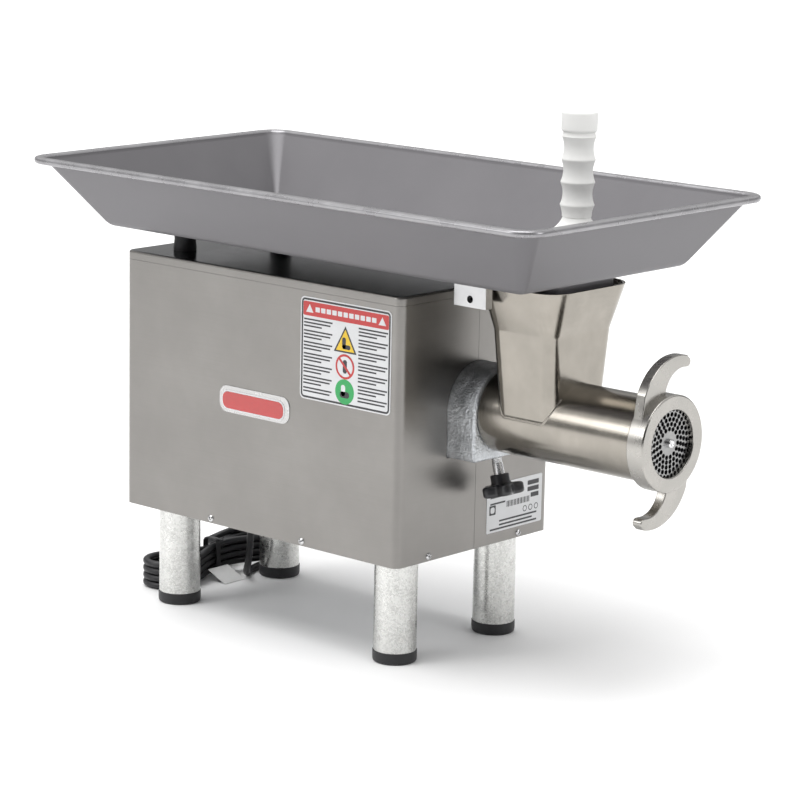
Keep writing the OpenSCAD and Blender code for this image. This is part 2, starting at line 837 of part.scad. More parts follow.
module front_label() {
  color([0.92, 0.92, 0.92]) place() across(0, 0.4) translate([69, body_z + 41]) round_rect(97, 56, 2);
}

/* ---- mains cord ---- */

gland_x = -372;
gland_y = 22;
cord_r = cord_d / 2;
hank_x = -444;
hank_y = 28;
hank_half = 75;
hank_h = 44.5;
fold_r = 25.5;
// The lead runs from the gland down to the counter and into the hank.
lead_route = [
  [-372, 22, 92], [-372, 22, 80], [-372, 22, 68], [-373, 22.6, 56], [-376, 24.5, 42], [-381, 28, 29],
  [-388, 33, 18], [-396, 40, 9.5], [-403.5, 49, 5.4], [-410, 60, 4.6], [-414.6, 72, 4.6], [-417.4, 84, 4.6],
  [-418.4, 94, 4.6], [-418.5, 103, 4.6]
];
// The tail leaves the top of the hank and comes down to the plug.
tail_route = [
  [-469.5, 103, 39], [-469.9, 94, 38.8], [-471.5, 84, 37.6], [-475, 75, 35], [-481, 68.5, 31],
  [-488.5, 66.5, 26.5], [-495.5, 70, 22.4], [-500.2, 77.5, 19], [-502.4, 87, 16.8], [-503, 97, 15.6],
  [-503, 106, 15.2]
];

function unit(v) = v / norm(v);
function heading(p, i) = unit(p[min(i + 1, len(p) - 1)] - p[max(i - 1, 0)]);
// A ring of points round a route's point, square to the route.
function cord_ring(p, i, r, sides) =
  let (d = heading(p, i), u = unit(cross(d, abs(d[0]) < 0.7 ? [1, 0, 0] : [0, 1, 0])), v = cross(d, u))
  [for (k = [0:sides - 1]) let (a = 360 * k / sides) p[i] + r * (cos(a) * u + sin(a) * v)];

// A round cord swept along a route's points.
module cord_along(p, r, sides = 8) {
  n = len(p);
  polyhedron(
    points = [for (i = [0:n - 1]) each cord_ring(p, i, r, sides)],
    faces = concat(
      [[for (k = [0:sides - 1]) k]],
      [for (i = [0:n - 2], k = [0:sides - 1])
         let (a = i * sides + k, b = i * sides + (k + 1) % sides) [b, a, a + sides, b + sides]],
      [[for (k = [sides - 1:-1:0]) (n - 1) * sides + k]]),
    convexity = 4);
}

module cord_gland() {
  color([0.10, 0.10, 0.11]) place() translate([gland_x, gland_y, body_z]) difference() {
    union() {
      translate([0, 0, -6]) cylinder(d = 25, h = 6, $fn = 6);
      translate([0, 0, -28]) cylinder(d1 = 12, d2 = 20, h = 22);
      cylinder(d = 16, h = 8);
      translate([0, 0, 2.5]) cylinder(d = 24, h = 5.5, $fn = 6);
    }
    translate([0, 0, -29]) cylinder(d = cord_d, h = 60);
  }
}

module cord_lead() {
  color([0.08, 0.08, 0.09]) place() {
    cord_along(lead_route, cord_r);
    cord_along(tail_route, cord_r);
  }
}

module cord_hank() {
  r = fold_r + cord_r;
  side = r * 0.72;
  color([0.08, 0.08, 0.09]) place() translate([hank_x, hank_y, 0]) linear_extrude(hank_h - 1) {
    difference() {
      union() {
        for (s = [-1, 1]) translate([0, s * hank_half]) circle(r = r);
        square([2 * r, 2 * hank_half], center = true);
      }
      for (s = [-1, 1]) polygon([[s * (r + 1), hank_half], [s * side, hank_half / 2], [s * 10, 10],
                                 [s * 10, -10], [s * side, -hank_half / 2], [s * (r + 1), -hank_half]]);
    }
  }
}

module cord_tie() {
  color([0.05, 0.05, 0.06]) place() translate([hank_x, hank_y - 4, 0.2]) difference() {
    translate([-12, 0, 0]) cube([24, 8, hank_h + 0.8]);
    translate([-10.6, -1, 0.8]) cube([21.2, 10, hank_h - 0.8]);
  }
}

module cord_tag() {
  color([0.90, 0.90, 0.89]) place() translate([-395, 2, 0.2]) rotate([0, 23, 0]) translate([-32, 0, 0]) cube([32, 34, 0.6]);
}

module plug() {
  blade = [1.5, 18, 6.3];
  color([0.08, 0.08, 0.09]) place() translate([-503, 106, 15.2]) {
    rotate([-90, 0, 0]) {
      cylinder(d1 = 12, d2 = 20, h = 14);
      translate([0, 0, 14]) cylinder(d = 28, h = 24);
    }
    translate([0, 38, 0]) {
      for (s = [-1, 1]) translate([s * 6.35 - blade[0] / 2, 0, 0]) cube(blade);
      translate([0, 0, -8]) rotate([-90, 0, 0]) cylinder(d = 4.8, h = 20);
    }
  }
}

/* ---- what is drawn ---- */

base_pan();
left_cover();
right_cover();
top_cover();
rear_panel();
cover_screws();
leg_tubes();
foot_caps();
leg_flanges();
motor_cradle();
motor_shell();
motor_front_bell();
motor_rear_bell();
stator_core();
windings();
fan_cover();
capacitor();
gearbox_foot();
gearbox_housing();
gearbox_cover();
bearing_plate();
bearings();
oil_seals();
motor_shaft();
rotor_core();
cooling_fan();
countershaft();
counter_gear();
output_shaft();
main_gear();
auger_shank();
auger();
auger_pin();
knife();
drive_hub();
clamp_stud();
clamp_knob();
grinder_head();
auger_bushing();
grinding_plate();
ring_nut();
tray_posts();
tray();
tray_bracket();
tray_screw();
pusher();
switch_plate();
switch_block();
start_button();
stop_button();
badge();
side_label();
front_label();
cord_gland();
cord_lead();
cord_hank();
cord_tie();
cord_tag();
plug();
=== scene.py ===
"""The finished look of a counter-top electric meat grinder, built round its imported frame.

Each sub-assembly is a class that keeps its sizes as fields, builds its meshes and dresses them.
Lengths in the classes are millimetres, measured from the body's front face, the middle of the
body's width and the counter. Meshes are in metres, in the frame's own axes.
"""

import logging
import math
from dataclasses import dataclass, field
from enum import Enum
from typing import Callable, Sequence

import bmesh
import bpy
from mathutils import Matrix, Vector


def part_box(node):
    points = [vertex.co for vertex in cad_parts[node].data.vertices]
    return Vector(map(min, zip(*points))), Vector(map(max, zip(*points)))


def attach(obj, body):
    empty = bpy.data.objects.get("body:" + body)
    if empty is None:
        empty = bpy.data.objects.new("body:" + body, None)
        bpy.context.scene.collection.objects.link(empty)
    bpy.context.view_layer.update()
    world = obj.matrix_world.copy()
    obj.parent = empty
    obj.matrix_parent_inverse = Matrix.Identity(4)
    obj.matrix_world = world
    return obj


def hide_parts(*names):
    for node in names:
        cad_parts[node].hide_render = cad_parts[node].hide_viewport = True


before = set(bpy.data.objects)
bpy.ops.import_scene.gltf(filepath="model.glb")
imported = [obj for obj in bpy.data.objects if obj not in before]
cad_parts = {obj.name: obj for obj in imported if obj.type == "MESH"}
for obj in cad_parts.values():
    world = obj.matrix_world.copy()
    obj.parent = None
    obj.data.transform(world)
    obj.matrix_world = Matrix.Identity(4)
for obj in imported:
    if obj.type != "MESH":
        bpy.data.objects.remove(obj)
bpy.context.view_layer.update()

LOG = logging.getLogger("grinder")
MM = 0.001
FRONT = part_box("top_cover")[1].x
AXIS_Z = (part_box("grinding_plate")[0].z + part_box("grinding_plate")[1].z) / 2 / MM

Colour = tuple[float, float, float]
Flat = tuple[float, float]
Spot = tuple[float, float, float]


def at(x: float, y: float, z: float) -> Vector:
    """A point in the frame, from millimetres off the body's front face."""
    return Vector((FRONT + x * MM, y * MM, z * MM))


def basis(origin: Spot, u: Vector, v: Vector, w: Vector) -> Matrix:
    """A transform from millimetres along u, v and w to the frame.

    Args:
        origin: where it starts, in millimetres off the body's front face.
        u: direction of the first axis.
        v: direction of the second axis.
        w: direction of the third axis.

    Returns:
        A 4 x 4 matrix that takes millimetres to the frame's metres.
    """
    turn = Matrix((u.normalized(), v.normalized(), w.normalized())).transposed().to_4x4()
    return Matrix.Translation(at(*origin)) @ turn @ Matrix.Scale(MM, 4)


X, Y, Z = Vector((1, 0, 0)), Vector((0, 1, 0)), Vector((0, 0, 1))


def along_x(x: float, z: float, y: float = 0.0) -> Matrix:
    """A transform for shapes turned about a line along +X: its third axis runs forward."""
    return basis((x, y, z), Y, Z, X)


def upright(x: float, y: float, z: float = 0.0) -> Matrix:
    """A transform for shapes that stand up: its third axis is +Z."""
    return basis((x, y, z), X, Y, Z)


# ---------------------------------------------------------------- finishes


class Pattern(Enum):
    """How a finish varies over a surface."""

    PLAIN = "plain"
    SPANGLE = "spangle"
    HAMMERED = "hammered"
    TURNED = "turned"
    WOUND = "wound"


class Shade:
    """Builds the node tree of one material."""

    def __init__(self, name: str) -> None:
        """Starts a material with a Principled shader.

        Args:
            name: the material's name.
        """
        self.material = bpy.data.materials.new(name)
        self.material.use_nodes = True
        self.tree = self.material.node_tree
        self.tree.nodes.clear()
        self.shader = self.add("ShaderNodeBsdfPrincipled")
        surface = self.add("ShaderNodeOutputMaterial")
        self.tree.links.new(self.shader.outputs[0], surface.inputs["Surface"])
        self.where = self.add("ShaderNodeTexCoord").outputs["Object"]

    def add(self, kind: str, sockets: dict | None = None, **settings: object) -> bpy.types.Node:
        """Adds a node.

        Args:
            kind: the node's type name.
            sockets: input name or number to a value or an output socket.
            **settings: the node's own properties.

        Returns:
            The new node.
        """
        node = self.tree.nodes.new(kind)
        for name, value in settings.items():
            setattr(node, name, value)
        for name, value in (sockets or {}).items():
            if isinstance(value, bpy.types.NodeSocket):
                self.tree.links.new(value, node.inputs[name])
            else:
                node.inputs[name].default_value = value
        return node

    def stretched(self, scale: Spot) -> bpy.types.NodeSocket:
        """The object's own coordinates, scaled along each axis."""
        return self.add("ShaderNodeMapping", {"Vector": self.where, "Scale": scale}).outputs[0]

    def noise(self, vector: bpy.types.NodeSocket, scale: float, detail: float = 3.0,
              rough: float = 0.5) -> bpy.types.NodeSocket:
        """Fractal noise from 0 to 1."""
        return self.add("ShaderNodeTexNoise", {"Vector": vector, "Scale": scale, "Detail": detail,
                                               "Roughness": rough}).outputs[0]

    def spread(self, value: bpy.types.NodeSocket, low: float, high: float,
               source: Flat = (0.3, 0.7)) -> bpy.types.NodeSocket:
        """Maps a value's range to another.

        Args:
            value: what is mapped.
            low: what the source's lower limit becomes.
            high: what the source's upper limit becomes.
            source: the limits that are mapped.

        Returns:
            The mapped value.
        """
        return self.add("ShaderNodeMapRange",
                        {0: value, 1: source[0], 2: source[1], 3: low, 4: high}).outputs[0]

    def tinted(self, fac: bpy.types.NodeSocket, first: Colour, second: Colour) -> bpy.types.NodeSocket:
        """A colour between two, by a factor.

        Args:
            fac: the factor.
            first: the colour at 0.
            second: the colour at 1.

        Returns:
            The colour.
        """
        ramp = self.add("ShaderNodeValToRGB", {0: fac})
        for element, colour in zip(ramp.color_ramp.elements, (first, second)):
            element.color = (*colour, 1.0)
        return ramp.outputs[0]

    def raised(self, height: bpy.types.NodeSocket, strength: float, depth: float,
               under: bpy.types.NodeSocket | None = None) -> bpy.types.NodeSocket:
        """A bump.

        Args:
            height: the height map.
            strength: how much of it counts.
            depth: its depth in metres.
            under: another bump that it lies on.

        Returns:
            The bent normal.
        """
        node = self.add("ShaderNodeBump", {"Height": height, "Strength": strength, "Distance": depth})
        if under is not None:
            self.tree.links.new(under, node.inputs["Normal"])
        return node.outputs[0]

    def radius_along_x(self) -> bpy.types.NodeSocket:
        """Coordinates that follow a turned surface: place along the auger's axis, and distance from it.

        Returns:
            The coordinates.
        """
        xyz = self.add("ShaderNodeSeparateXYZ", {0: self.where})
        rise = self.add("ShaderNodeMath", {0: xyz.outputs[2], 1: AXIS_Z * MM},
                        operation="SUBTRACT").outputs[0]
        side = self.add("ShaderNodeMath", {0: xyz.outputs[1], 1: 2.0}, operation="POWER").outputs[0]
        both = self.add("ShaderNodeMath", {0: rise, 1: rise, 2: side}, operation="MULTIPLY_ADD").outputs[0]
        reach = self.add("ShaderNodeMath", {0: both}, operation="SQRT").outputs[0]
        return self.add("ShaderNodeCombineXYZ", {0: xyz.outputs[0], 1: reach}).outputs[0]


@dataclass(frozen=True)
class Finish:
    """One surface finish, as a maker would specify it.

    Scales are cells per metre, and depths are metres.
    """

    name: str
    colour: Colour
    shaded: Colour
    metal: float = 0.0
    rough: Flat = (0.4, 0.5)
    cloud: float = 14.0
    grain: Spot = (0.0, 0.0, 0.0)
    grain_depth: float = 0.0
    pores: float = 0.0
    pore_depth: float = 0.0
    coat: float = 0.0
    sheen: float = 0.0
    glass: float = 0.0
    pattern: Pattern = Pattern.PLAIN

    def build(self) -> bpy.types.Material:
        """The finish as a material, made once and kept by name.

        Returns:
            The material.
        """
        kept = bpy.data.materials.get(self.name)
        if kept is not None:
            return kept
        shade = Shade(self.name)
        sockets = shade.shader.inputs
        sockets["Metallic"].default_value = self.metal
        sockets["Coat Weight"].default_value = self.coat
        sockets["Coat Roughness"].default_value = 0.12
        sockets["Sheen Weight"].default_value = self.sheen
        sockets["Transmission Weight"].default_value = self.glass
        cloud = shade.noise(shade.where, self.cloud, 4.0, 0.6)
        tone, bump = cloud, None
        if self.pattern is Pattern.SPANGLE:
            tone, bump = self._spangle(shade, cloud)
        elif self.pattern is Pattern.HAMMERED:
            tone, bump = self._hammered(shade, cloud)
        elif self.pattern is Pattern.TURNED:
            bump = shade.raised(shade.noise(shade.add("ShaderNodeMapping", {
                "Vector": shade.radius_along_x(), "Scale": (2600.0, 2600.0, 1.0)}).outputs[0], 1.0, 2.0),
                0.25, 0.00006)
        elif self.pattern is Pattern.WOUND:
            wires = shade.add("ShaderNodeTexWave", {"Vector": shade.where, "Scale": 260.0, "Distortion": 1.5},
                              bands_direction="DIAGONAL").outputs[1]
            bump = shade.raised(wires, 0.6, 0.0006)
        rough_by = cloud
        if self.grain_depth:
            hair = shade.noise(shade.stretched(self.grain), 1.0, 3.0, 0.65)
            rough_by = shade.add("ShaderNodeMath", {0: hair, 1: cloud}, operation="ADD").outputs[0]
            rough_by = shade.add("ShaderNodeMath", {0: rough_by, 1: 0.5}, operation="MULTIPLY").outputs[0]
            tone = shade.add("ShaderNodeMath", {0: tone, 1: rough_by, 2: 0.0},
                             operation="MULTIPLY_ADD").outputs[0]
            tone = shade.spread(tone, 0.0, 1.0, (0.12, 0.42))
            bump = shade.raised(hair, 0.35, self.grain_depth, bump)
        else:
            tone = shade.spread(tone, 0.0, 1.0)
        if self.pores:
            bump = shade.raised(shade.noise(shade.where, self.pores, 3.0, 0.6), 0.5, self.pore_depth, bump)
        shade.tree.links.new(shade.tinted(tone, self.shaded, self.colour), sockets["Base Color"])
        shade.tree.links.new(shade.spread(rough_by, *self.rough), sockets["Roughness"])
        if bump is not None:
            shade.tree.links.new(bump, sockets["Normal"])
        return shade.material

    def _spangle(self, shade: Shade, cloud: bpy.types.NodeSocket) -> tuple:
        """Zinc crystals: cells of slightly different brightness.

        Args:
            shade: the material in the making.
            cloud: its broad variation.

        Returns:
            The tone and the bump.
        """
        cells = shade.add("ShaderNodeTexVoronoi", {"Vector": shade.where, "Scale": 620.0, "Randomness": 1.0})
        value = shade.add("ShaderNodeSeparateColor", {0: cells.outputs["Color"]}).outputs[0]
        tone = shade.add("ShaderNodeMath", {0: value, 1: 0.45, 2: cloud}, operation="MULTIPLY_ADD").outputs[0]
        tone = shade.spread(tone, 0.2, 0.8, (0.35, 1.0))
        return tone, shade.raised(value, 0.35, 0.00012)

    def _hammered(self, shade: Shade, cloud: bpy.types.NodeSocket) -> tuple:
        """A cast skin under hammered paint: dimples with a fine sparkle.

        Args:
            shade: the material in the making.
            cloud: its broad variation.

        Returns:
            The tone and the bump.
        """
        dimples = shade.add("ShaderNodeTexVoronoi", {"Vector": shade.where, "Scale": 420.0},
                            feature="SMOOTH_F1").outputs["Distance"]
        sparkle = shade.noise(shade.where, 1500.0, 2.0, 0.7)
        tone = shade.add("ShaderNodeMath", {0: sparkle, 1: 0.6, 2: cloud},
                         operation="MULTIPLY_ADD").outputs[0]
        tone = shade.spread(tone, 0.25, 0.75, (0.55, 1.0))
        return tone, shade.raised(dimples, 0.9, 0.0009)


HORIZONTAL, LENGTHWAYS = (9.0, 9.0, 1500.0), (9.0, 1500.0, 1500.0)

BODY_STEEL = Finish("brushed_body_steel", (0.275, 0.265, 0.252), (0.235, 0.226, 0.215), 1.0, (0.30, 0.40),
                    9.0, HORIZONTAL, 0.00004)
LID_STEEL = Finish("bright_lid_steel", (0.25, 0.255, 0.26), (0.20, 0.205, 0.21), 1.0, (0.14, 0.24), 9.0,
                   LENGTHWAYS, 0.00003)
HEAD_STEEL = Finish("polished_head_steel", (0.35, 0.325, 0.288), (0.28, 0.262, 0.232), 1.0, (0.15, 0.25),
                    26.0, (900.0, 60.0, 60.0), 0.00002)
RING_STEEL = Finish("satin_ring_steel", (0.43, 0.415, 0.39), (0.35, 0.34, 0.32), 1.0, (0.20, 0.32), 30.0,
                    pattern=Pattern.TURNED)
PLATE_STEEL = Finish("ground_plate_steel", (0.40, 0.40, 0.39), (0.27, 0.27, 0.27), 1.0, (0.26, 0.42), 40.0,
                     pattern=Pattern.TURNED)
ZINC_TUBE = Finish("galvanised_tube", (0.68, 0.68, 0.66), (0.50, 0.50, 0.485), 1.0, (0.20, 0.34), 60.0,
                   pores=700.0, pore_depth=0.0001, pattern=Pattern.SPANGLE)
BRIGHT_ZINC = Finish("bright_zinc", (0.70, 0.70, 0.70), (0.58, 0.58, 0.59), 1.0, (0.16, 0.30), 60.0)
PAN_STEEL = Finish("plated_pan_steel", (0.46, 0.47, 0.48), (0.36, 0.37, 0.38), 1.0, (0.35, 0.50), 25.0,
                   pores=900.0, pore_depth=0.00005)
HUB_CASTING = Finish("hammered_casting", (0.66, 0.68, 0.70), (0.36, 0.375, 0.395), 0.75, (0.32, 0.50), 60.0,
                     pattern=Pattern.HAMMERED)
TRAY_GREY = Finish("blasted_tray_metal", (0.160, 0.155, 0.163), (0.138, 0.134, 0.142), 0.35, (0.42, 0.52),
                   7.0, pores=1300.0, pore_depth=0.00008)
# The rolled rim's smoother, more metallic finish is real; its much lighter colour is a painted highlight
# along the rim.
TRAY_RIM_PAINTED_HIGHLIGHT = Finish("worn_tray_rim", (0.34, 0.335, 0.345), (0.26, 0.255, 0.265), 0.6, (0.24, 0.34), 30.0)
BLACK_OXIDE = Finish("black_oxide", (0.030, 0.030, 0.033), (0.018, 0.018, 0.020), 0.5, (0.42, 0.55), 60.0)
BLACK_RUBBER = Finish("black_rubber", (0.018, 0.018, 0.020), (0.010, 0.010, 0.012), 0.0, (0.45, 0.62), 40.0,
                      pores=900.0, pore_depth=0.0001, sheen=0.08)
CORD_RUBBER = Finish("cord_jacket", (0.014, 0.014, 0.016), (0.008, 0.008, 0.010), 0.0, (0.36, 0.52), 60.0,
                     pores=1600.0, pore_depth=0.00006)
BLACK_PHENOLIC = Finish("black_phenolic", (0.020, 0.020, 0.023), (0.012, 0.012, 0.014), 0.0, (0.26, 0.38),
                        50.0, pores=500.0, pore_depth=0.00008, coat=0.2)
WHITE_NYLON = Finish("white_nylon", (0.93, 0.93, 0.915), (0.89, 0.89, 0.875), 0.0, (0.32, 0.44), 24.0,
                     pores=800.0, pore_depth=0.00006)
WHITE_VINYL = Finish("white_vinyl", (0.66, 0.665, 0.675), (0.61, 0.615, 0.625), 0.0, (0.28, 0.40), 30.0)
PRINT_BLACK = Finish("black_print", (0.030, 0.030, 0.034), (0.020, 0.020, 0.022), 0.0, (0.30, 0.45), 60.0)
PRINT_RED = Finish("red_print", (0.50, 0.022, 0.020), (0.42, 0.016, 0.015), 0.0, (0.28, 0.42), 40.0, coat=0.3)
PRINT_YELLOW = Finish("yellow_print", (0.78, 0.52, 0.025), (0.70, 0.46, 0.02), 0.0, (0.28, 0.42), 40.0)
PRINT_GREEN = Finish("green_print", (0.030, 0.36, 0.10), (0.022, 0.30, 0.08), 0.0, (0.28, 0.42), 40.0)
RED_ENAMEL = Finish("red_enamel", (0.48, 0.012, 0.010), (0.40, 0.009, 0.008), 0.0, (0.14, 0.22), 30.0,
                    coat=0.8)
CLEAR_PLATE = Finish("pale_badge_plate", (0.52, 0.515, 0.51), (0.46, 0.455, 0.45), 0.6, (0.20, 0.32), 30.0,
                     coat=0.6)
GREEN_BUTTON = Finish("green_button", (0.018, 0.26, 0.070), (0.014, 0.20, 0.055), 0.0, (0.20, 0.30), 60.0,
                      coat=0.4)
RED_BUTTON = Finish("red_button", (0.52, 0.020, 0.016), (0.44, 0.016, 0.012), 0.0, (0.20, 0.30), 60.0,
                    coat=0.4)
MOTOR_ENAMEL = Finish("motor_enamel", (0.060, 0.085, 0.115), (0.045, 0.065, 0.090), 0.0, (0.30, 0.45), 30.0,
                      pores=500.0, pore_depth=0.0002, coat=0.2)
CORE_STEEL = Finish("stacked_laminations", (0.20, 0.19, 0.185), (0.12, 0.115, 0.115), 0.9, (0.40, 0.60), 40.0,
                    (2000.0, 12.0, 12.0), 0.0001)
COPPER_WIRE = Finish("varnished_copper", (0.62, 0.24, 0.09), (0.36, 0.12, 0.045), 0.9, (0.22, 0.38), 90.0,
                     coat=0.4, pattern=Pattern.WOUND)
GEARBOX_IRON = Finish("gearbox_iron", (0.17, 0.175, 0.18), (0.10, 0.105, 0.11), 0.7, (0.45, 0.65), 50.0,
                      pores=700.0, pore_depth=0.0004)
OILED_STEEL = Finish("oiled_gear_steel", (0.42, 0.39, 0.34), (0.30, 0.28, 0.24), 1.0, (0.16, 0.30), 60.0,
                     coat=0.3)
SHAFT_STEEL = Finish("ground_shaft_steel", (0.55, 0.55, 0.55), (0.44, 0.44, 0.45), 1.0, (0.18, 0.28), 50.0,
                     (1800.0, 30.0, 30.0), 0.00003)
WORM_STEEL = Finish("cast_worm_steel", (0.22, 0.21, 0.20), (0.14, 0.135, 0.13), 1.0, (0.30, 0.46), 45.0,
                    pores=500.0, pore_depth=0.0002)
BUSH_BRONZE = Finish("bush_bronze", (0.60, 0.40, 0.15), (0.42, 0.27, 0.10), 1.0, (0.24, 0.38), 70.0)
PLUG_BRASS = Finish("plated_blade", (0.72, 0.66, 0.52), (0.60, 0.54, 0.40), 1.0, (0.18, 0.30), 80.0)
TAG_CARD = Finish("blank_tag_card", (0.80, 0.80, 0.79), (0.74, 0.74, 0.735), 0.0, (0.50, 0.62), 60.0,
                  pores=1200.0, pore_depth=0.00005)


def dress(finish: Finish, *nodes: str) -> None:
    """Gives CAD nodes a finish.

    Args:
        finish: what they get.
        *nodes: their names.
    """
    for name in nodes:
        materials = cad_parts[name].data.materials
        materials.clear()
        materials.append(finish.build())
    LOG.info("dressed %s in %s", ", ".join(nodes), finish.name)


# ---------------------------------------------------------------- outlines


def arc(centre: Flat, radius: float, start: float, stop: float, steps: int) -> list[Flat]:
    """Points along an arc, with its angles in degrees."""
    turns = [math.radians(start + (stop - start) * k / steps) for k in range(steps + 1)]
    return [(centre[0] + radius * math.cos(a), centre[1] + radius * math.sin(a)) for a in turns]


def round_box(length: float, width: float, radius: float, middle: Flat = (0.0, 0.0),
              steps: int = 8) -> list[Flat]:
    """The outline of a rectangle with round corners, counterclockwise.

    Args:
        length: its size along the first axis.
        width: its size along the second axis.
        radius: the corners' radius.
        middle: its centre.
        steps: the number of pieces in each corner.

    Returns:
        Its points.
    """
    radius = max(0.01, min(radius, length / 2 - 0.01, width / 2 - 0.01))
    a, b = length / 2 - radius, width / 2 - radius
    corners = ((a, b, 0), (-a, b, 90), (-a, -b, 180), (a, -b, 270))
    return [p for x, y, turn in corners
            for p in arc((middle[0] + x, middle[1] + y), radius, turn, turn + 90, steps)]


def fillet(before: Flat, corner: Flat, after: Flat, reach: float, steps: int = 4) -> list[Flat]:
    """Rounds one corner of a profile.

    Args:
        before: the point before the corner.
        corner: the corner itself.
        after: the point after it.
        reach: how far from the corner the rounding starts.
        steps: the number of pieces.

    Returns:
        The points that take the corner's place.
    """
    c, a, b = Vector(corner), Vector(before), Vector(after)
    start, stop = c + (a - c).normalized() * reach, c + (b - c).normalized() * reach
    found = []
    for k in range(steps + 1):
        t = k / steps
        p = start * (1 - t) ** 2 + c * 2 * t * (1 - t) + stop * t ** 2
        found.append((p.x, p.y))
    return found


def rounded(profile: Sequence[tuple[float, float, float]], closed: bool = False) -> list[Flat]:
    """A profile with each corner rounded by its own third number.

    Args:
        profile: corners as (first, second, reach of the rounding).
        closed: whether the last corner joins the first.

    Returns:
        The profile's points.
    """
    points, n = [], len(profile)
    for k, (a, b, reach) in enumerate(profile):
        if reach <= 0 or (not closed and k in (0, n - 1)):
            points.append((a, b))
        else:
            points += fillet(profile[k - 1][:2], (a, b), profile[(k + 1) % n][:2], reach)
    return points


# ---------------------------------------------------------------- meshes


class Shell:
    """A mesh in the making: its points, its faces and which finish each face takes."""

    def __init__(self) -> None:
        """Starts with nothing."""
        self.points: list[Vector] = []
        self.faces: list[tuple[int, ...]] = []
        self.tints: list[int] = []

    def ring(self, points: Sequence[Vector]) -> list[int]:
        """Adds points and gives their numbers.

        Args:
            points: the points, in the frame.

        Returns:
            Their numbers.
        """
        first = len(self.points)
        self.points += list(points)
        return list(range(first, len(self.points)))

    def face(self, corners: Sequence[int], tint: int = 0) -> None:
        """Adds one face."""
        self.faces.append(tuple(corners))
        self.tints.append(tint)

    def skin(self, rings: Sequence[Sequence[Vector]], tint: int = 0, loop: bool = False) -> "Shell":
        """Skins rings of equally many points.

        Args:
            rings: closed rings, in order.
            tint: the faces' finish.
            loop: whether the last ring joins the first. Otherwise both ends are closed flat.

        Returns:
            The shell itself.
        """
        rows = [self.ring(points) for points in rings]
        n = len(rows[0])
        pairs = list(zip(rows, rows[1:])) + ([(rows[-1], rows[0])] if loop else [])
        for a, b in pairs:
            for k in range(n):
                self.face((a[k], a[(k + 1) % n], b[(k + 1) % n], b[k]), tint)
        if not loop:
            self.face(rows[0][::-1], tint)
            self.face(rows[-1], tint)
        return self

    def lathe(self, profile: Sequence[Flat], place: Matrix, tint: int = 0, loop: bool = False,
              steps: int = 96) -> "Shell":
        """Turns a profile about the third axis of a transform.

        Args:
            profile: points as (radius, height).
            place: the transform.
            tint: the faces' finish.
            loop: whether the profile is closed, as a tube's wall is.
            steps: the number of faces round it.

        Returns:
            The shell itself.
        """
        turns = [2 * math.pi * k / steps for k in range(steps)]
        kept = [p for p in profile if p[0] > 1e-6]
        return self.skin([[place @ Vector((r * math.cos(a), r * math.sin(a), h)) for a in turns]
                          for r, h in kept], tint, loop)

    def prism(self, outline: Sequence[Flat], place: Matrix, low: float, high: float,
              tint: int = 0) -> "Shell":
        """Extrudes an outline along the third axis of a transform.

        Args:
            outline: the outline's points.
            place: the transform.
            low: where the extrusion starts.
            high: where it ends.
            tint: the faces' finish.

        Returns:
            The shell itself.
        """
        return self.skin([[place @ Vector((u, v, w)) for u, v in outline] for w in (low, high)], tint)

    def object(self, name: str, finishes: Sequence[Finish], sharp: float = 32.0, soft: float = 0.0,
               steps: int = 2) -> bpy.types.Object:
        """The mesh as an object at the origin.

        Args:
            name: the object's name.
            finishes: the finishes that the tints count through.
            sharp: the angle past which an edge stays sharp, in degrees.
            soft: how far its sharp edges are rounded, in millimetres.
            steps: the pieces in each rounded edge.

        Returns:
            The object, not yet on a body.
        """
        mesh = bpy.data.meshes.new(name)
        mesh.from_pydata([tuple(p) for p in self.points], [], self.faces)
        for finish in finishes:
            mesh.materials.append(finish.build())
        mesh.polygons.foreach_set("material_index", self.tints)
        work = bmesh.new()
        work.from_mesh(mesh)
        bmesh.ops.remove_doubles(work, verts=work.verts, dist=1e-7)
        bmesh.ops.recalc_face_normals(work, faces=work.faces)
        if soft:
            edges = [e for e in work.edges
                     if len(e.link_faces) == 2 and e.calc_face_angle() > math.radians(30)]
            bmesh.ops.bevel(work, geom=edges, offset=soft * MM, segments=steps, profile=0.5, affect="EDGES",
                            clamp_overlap=True)
        work.to_mesh(mesh)
        work.free()
        return finished(name, mesh, sharp)


def finished(name: str, mesh: bpy.types.Mesh, sharp: float = 32.0) -> bpy.types.Object:
    """A smooth-shaded object from a mesh, with its flat faces kept flat.

    Args:
        name: the object's name.
        mesh: its mesh.
        sharp: the angle past which an edge stays sharp, in degrees.

    Returns:
        The object at the origin.
    """
    mesh.shade_smooth()
    mesh.set_sharp_from_angle(angle=math.radians(sharp))
    thing = bpy.data.objects.new(name, mesh)
    bpy.context.scene.collection.objects.link(thing)
    even = thing.modifiers.new("even_normals", "WEIGHTED_NORMAL")
    even.keep_sharp = True
    return baked(thing)


def baked(thing: bpy.types.Object) -> bpy.types.Object:
    """The same object with its modifiers applied to its mesh.

    Args:
        thing: the object, with its modifiers.

    Returns:
        The same object, plain.
    """
    bpy.context.view_layer.update()
    seen = thing.evaluated_get(bpy.context.evaluated_depsgraph_get())
    mesh = bpy.data.meshes.new_from_object(seen, preserve_all_data_layers=True,
                                           depsgraph=bpy.context.evaluated_depsgraph_get())
    thing.modifiers.clear()
    thing.data = mesh
    mesh.name = thing.name
    return thing


def carved(thing: bpy.types.Object, *cutters: bpy.types.Object) -> bpy.types.Object:
    """Cuts solids out of an object, and removes them.

    Args:
        thing: what is cut.
        *cutters: the solids.

    Returns:
        The object, cut.
    """
    for cutter in cutters:
        cut = thing.modifiers.new("cut", "BOOLEAN")
        cut.operation, cut.solver, cut.object = "DIFFERENCE", "EXACT", cutter
    name = thing.name
    mesh = baked(thing).data
    for cutter in cutters:
        bpy.data.objects.remove(cutter)
    bpy.data.objects.remove(thing)
    return finished(name, mesh)


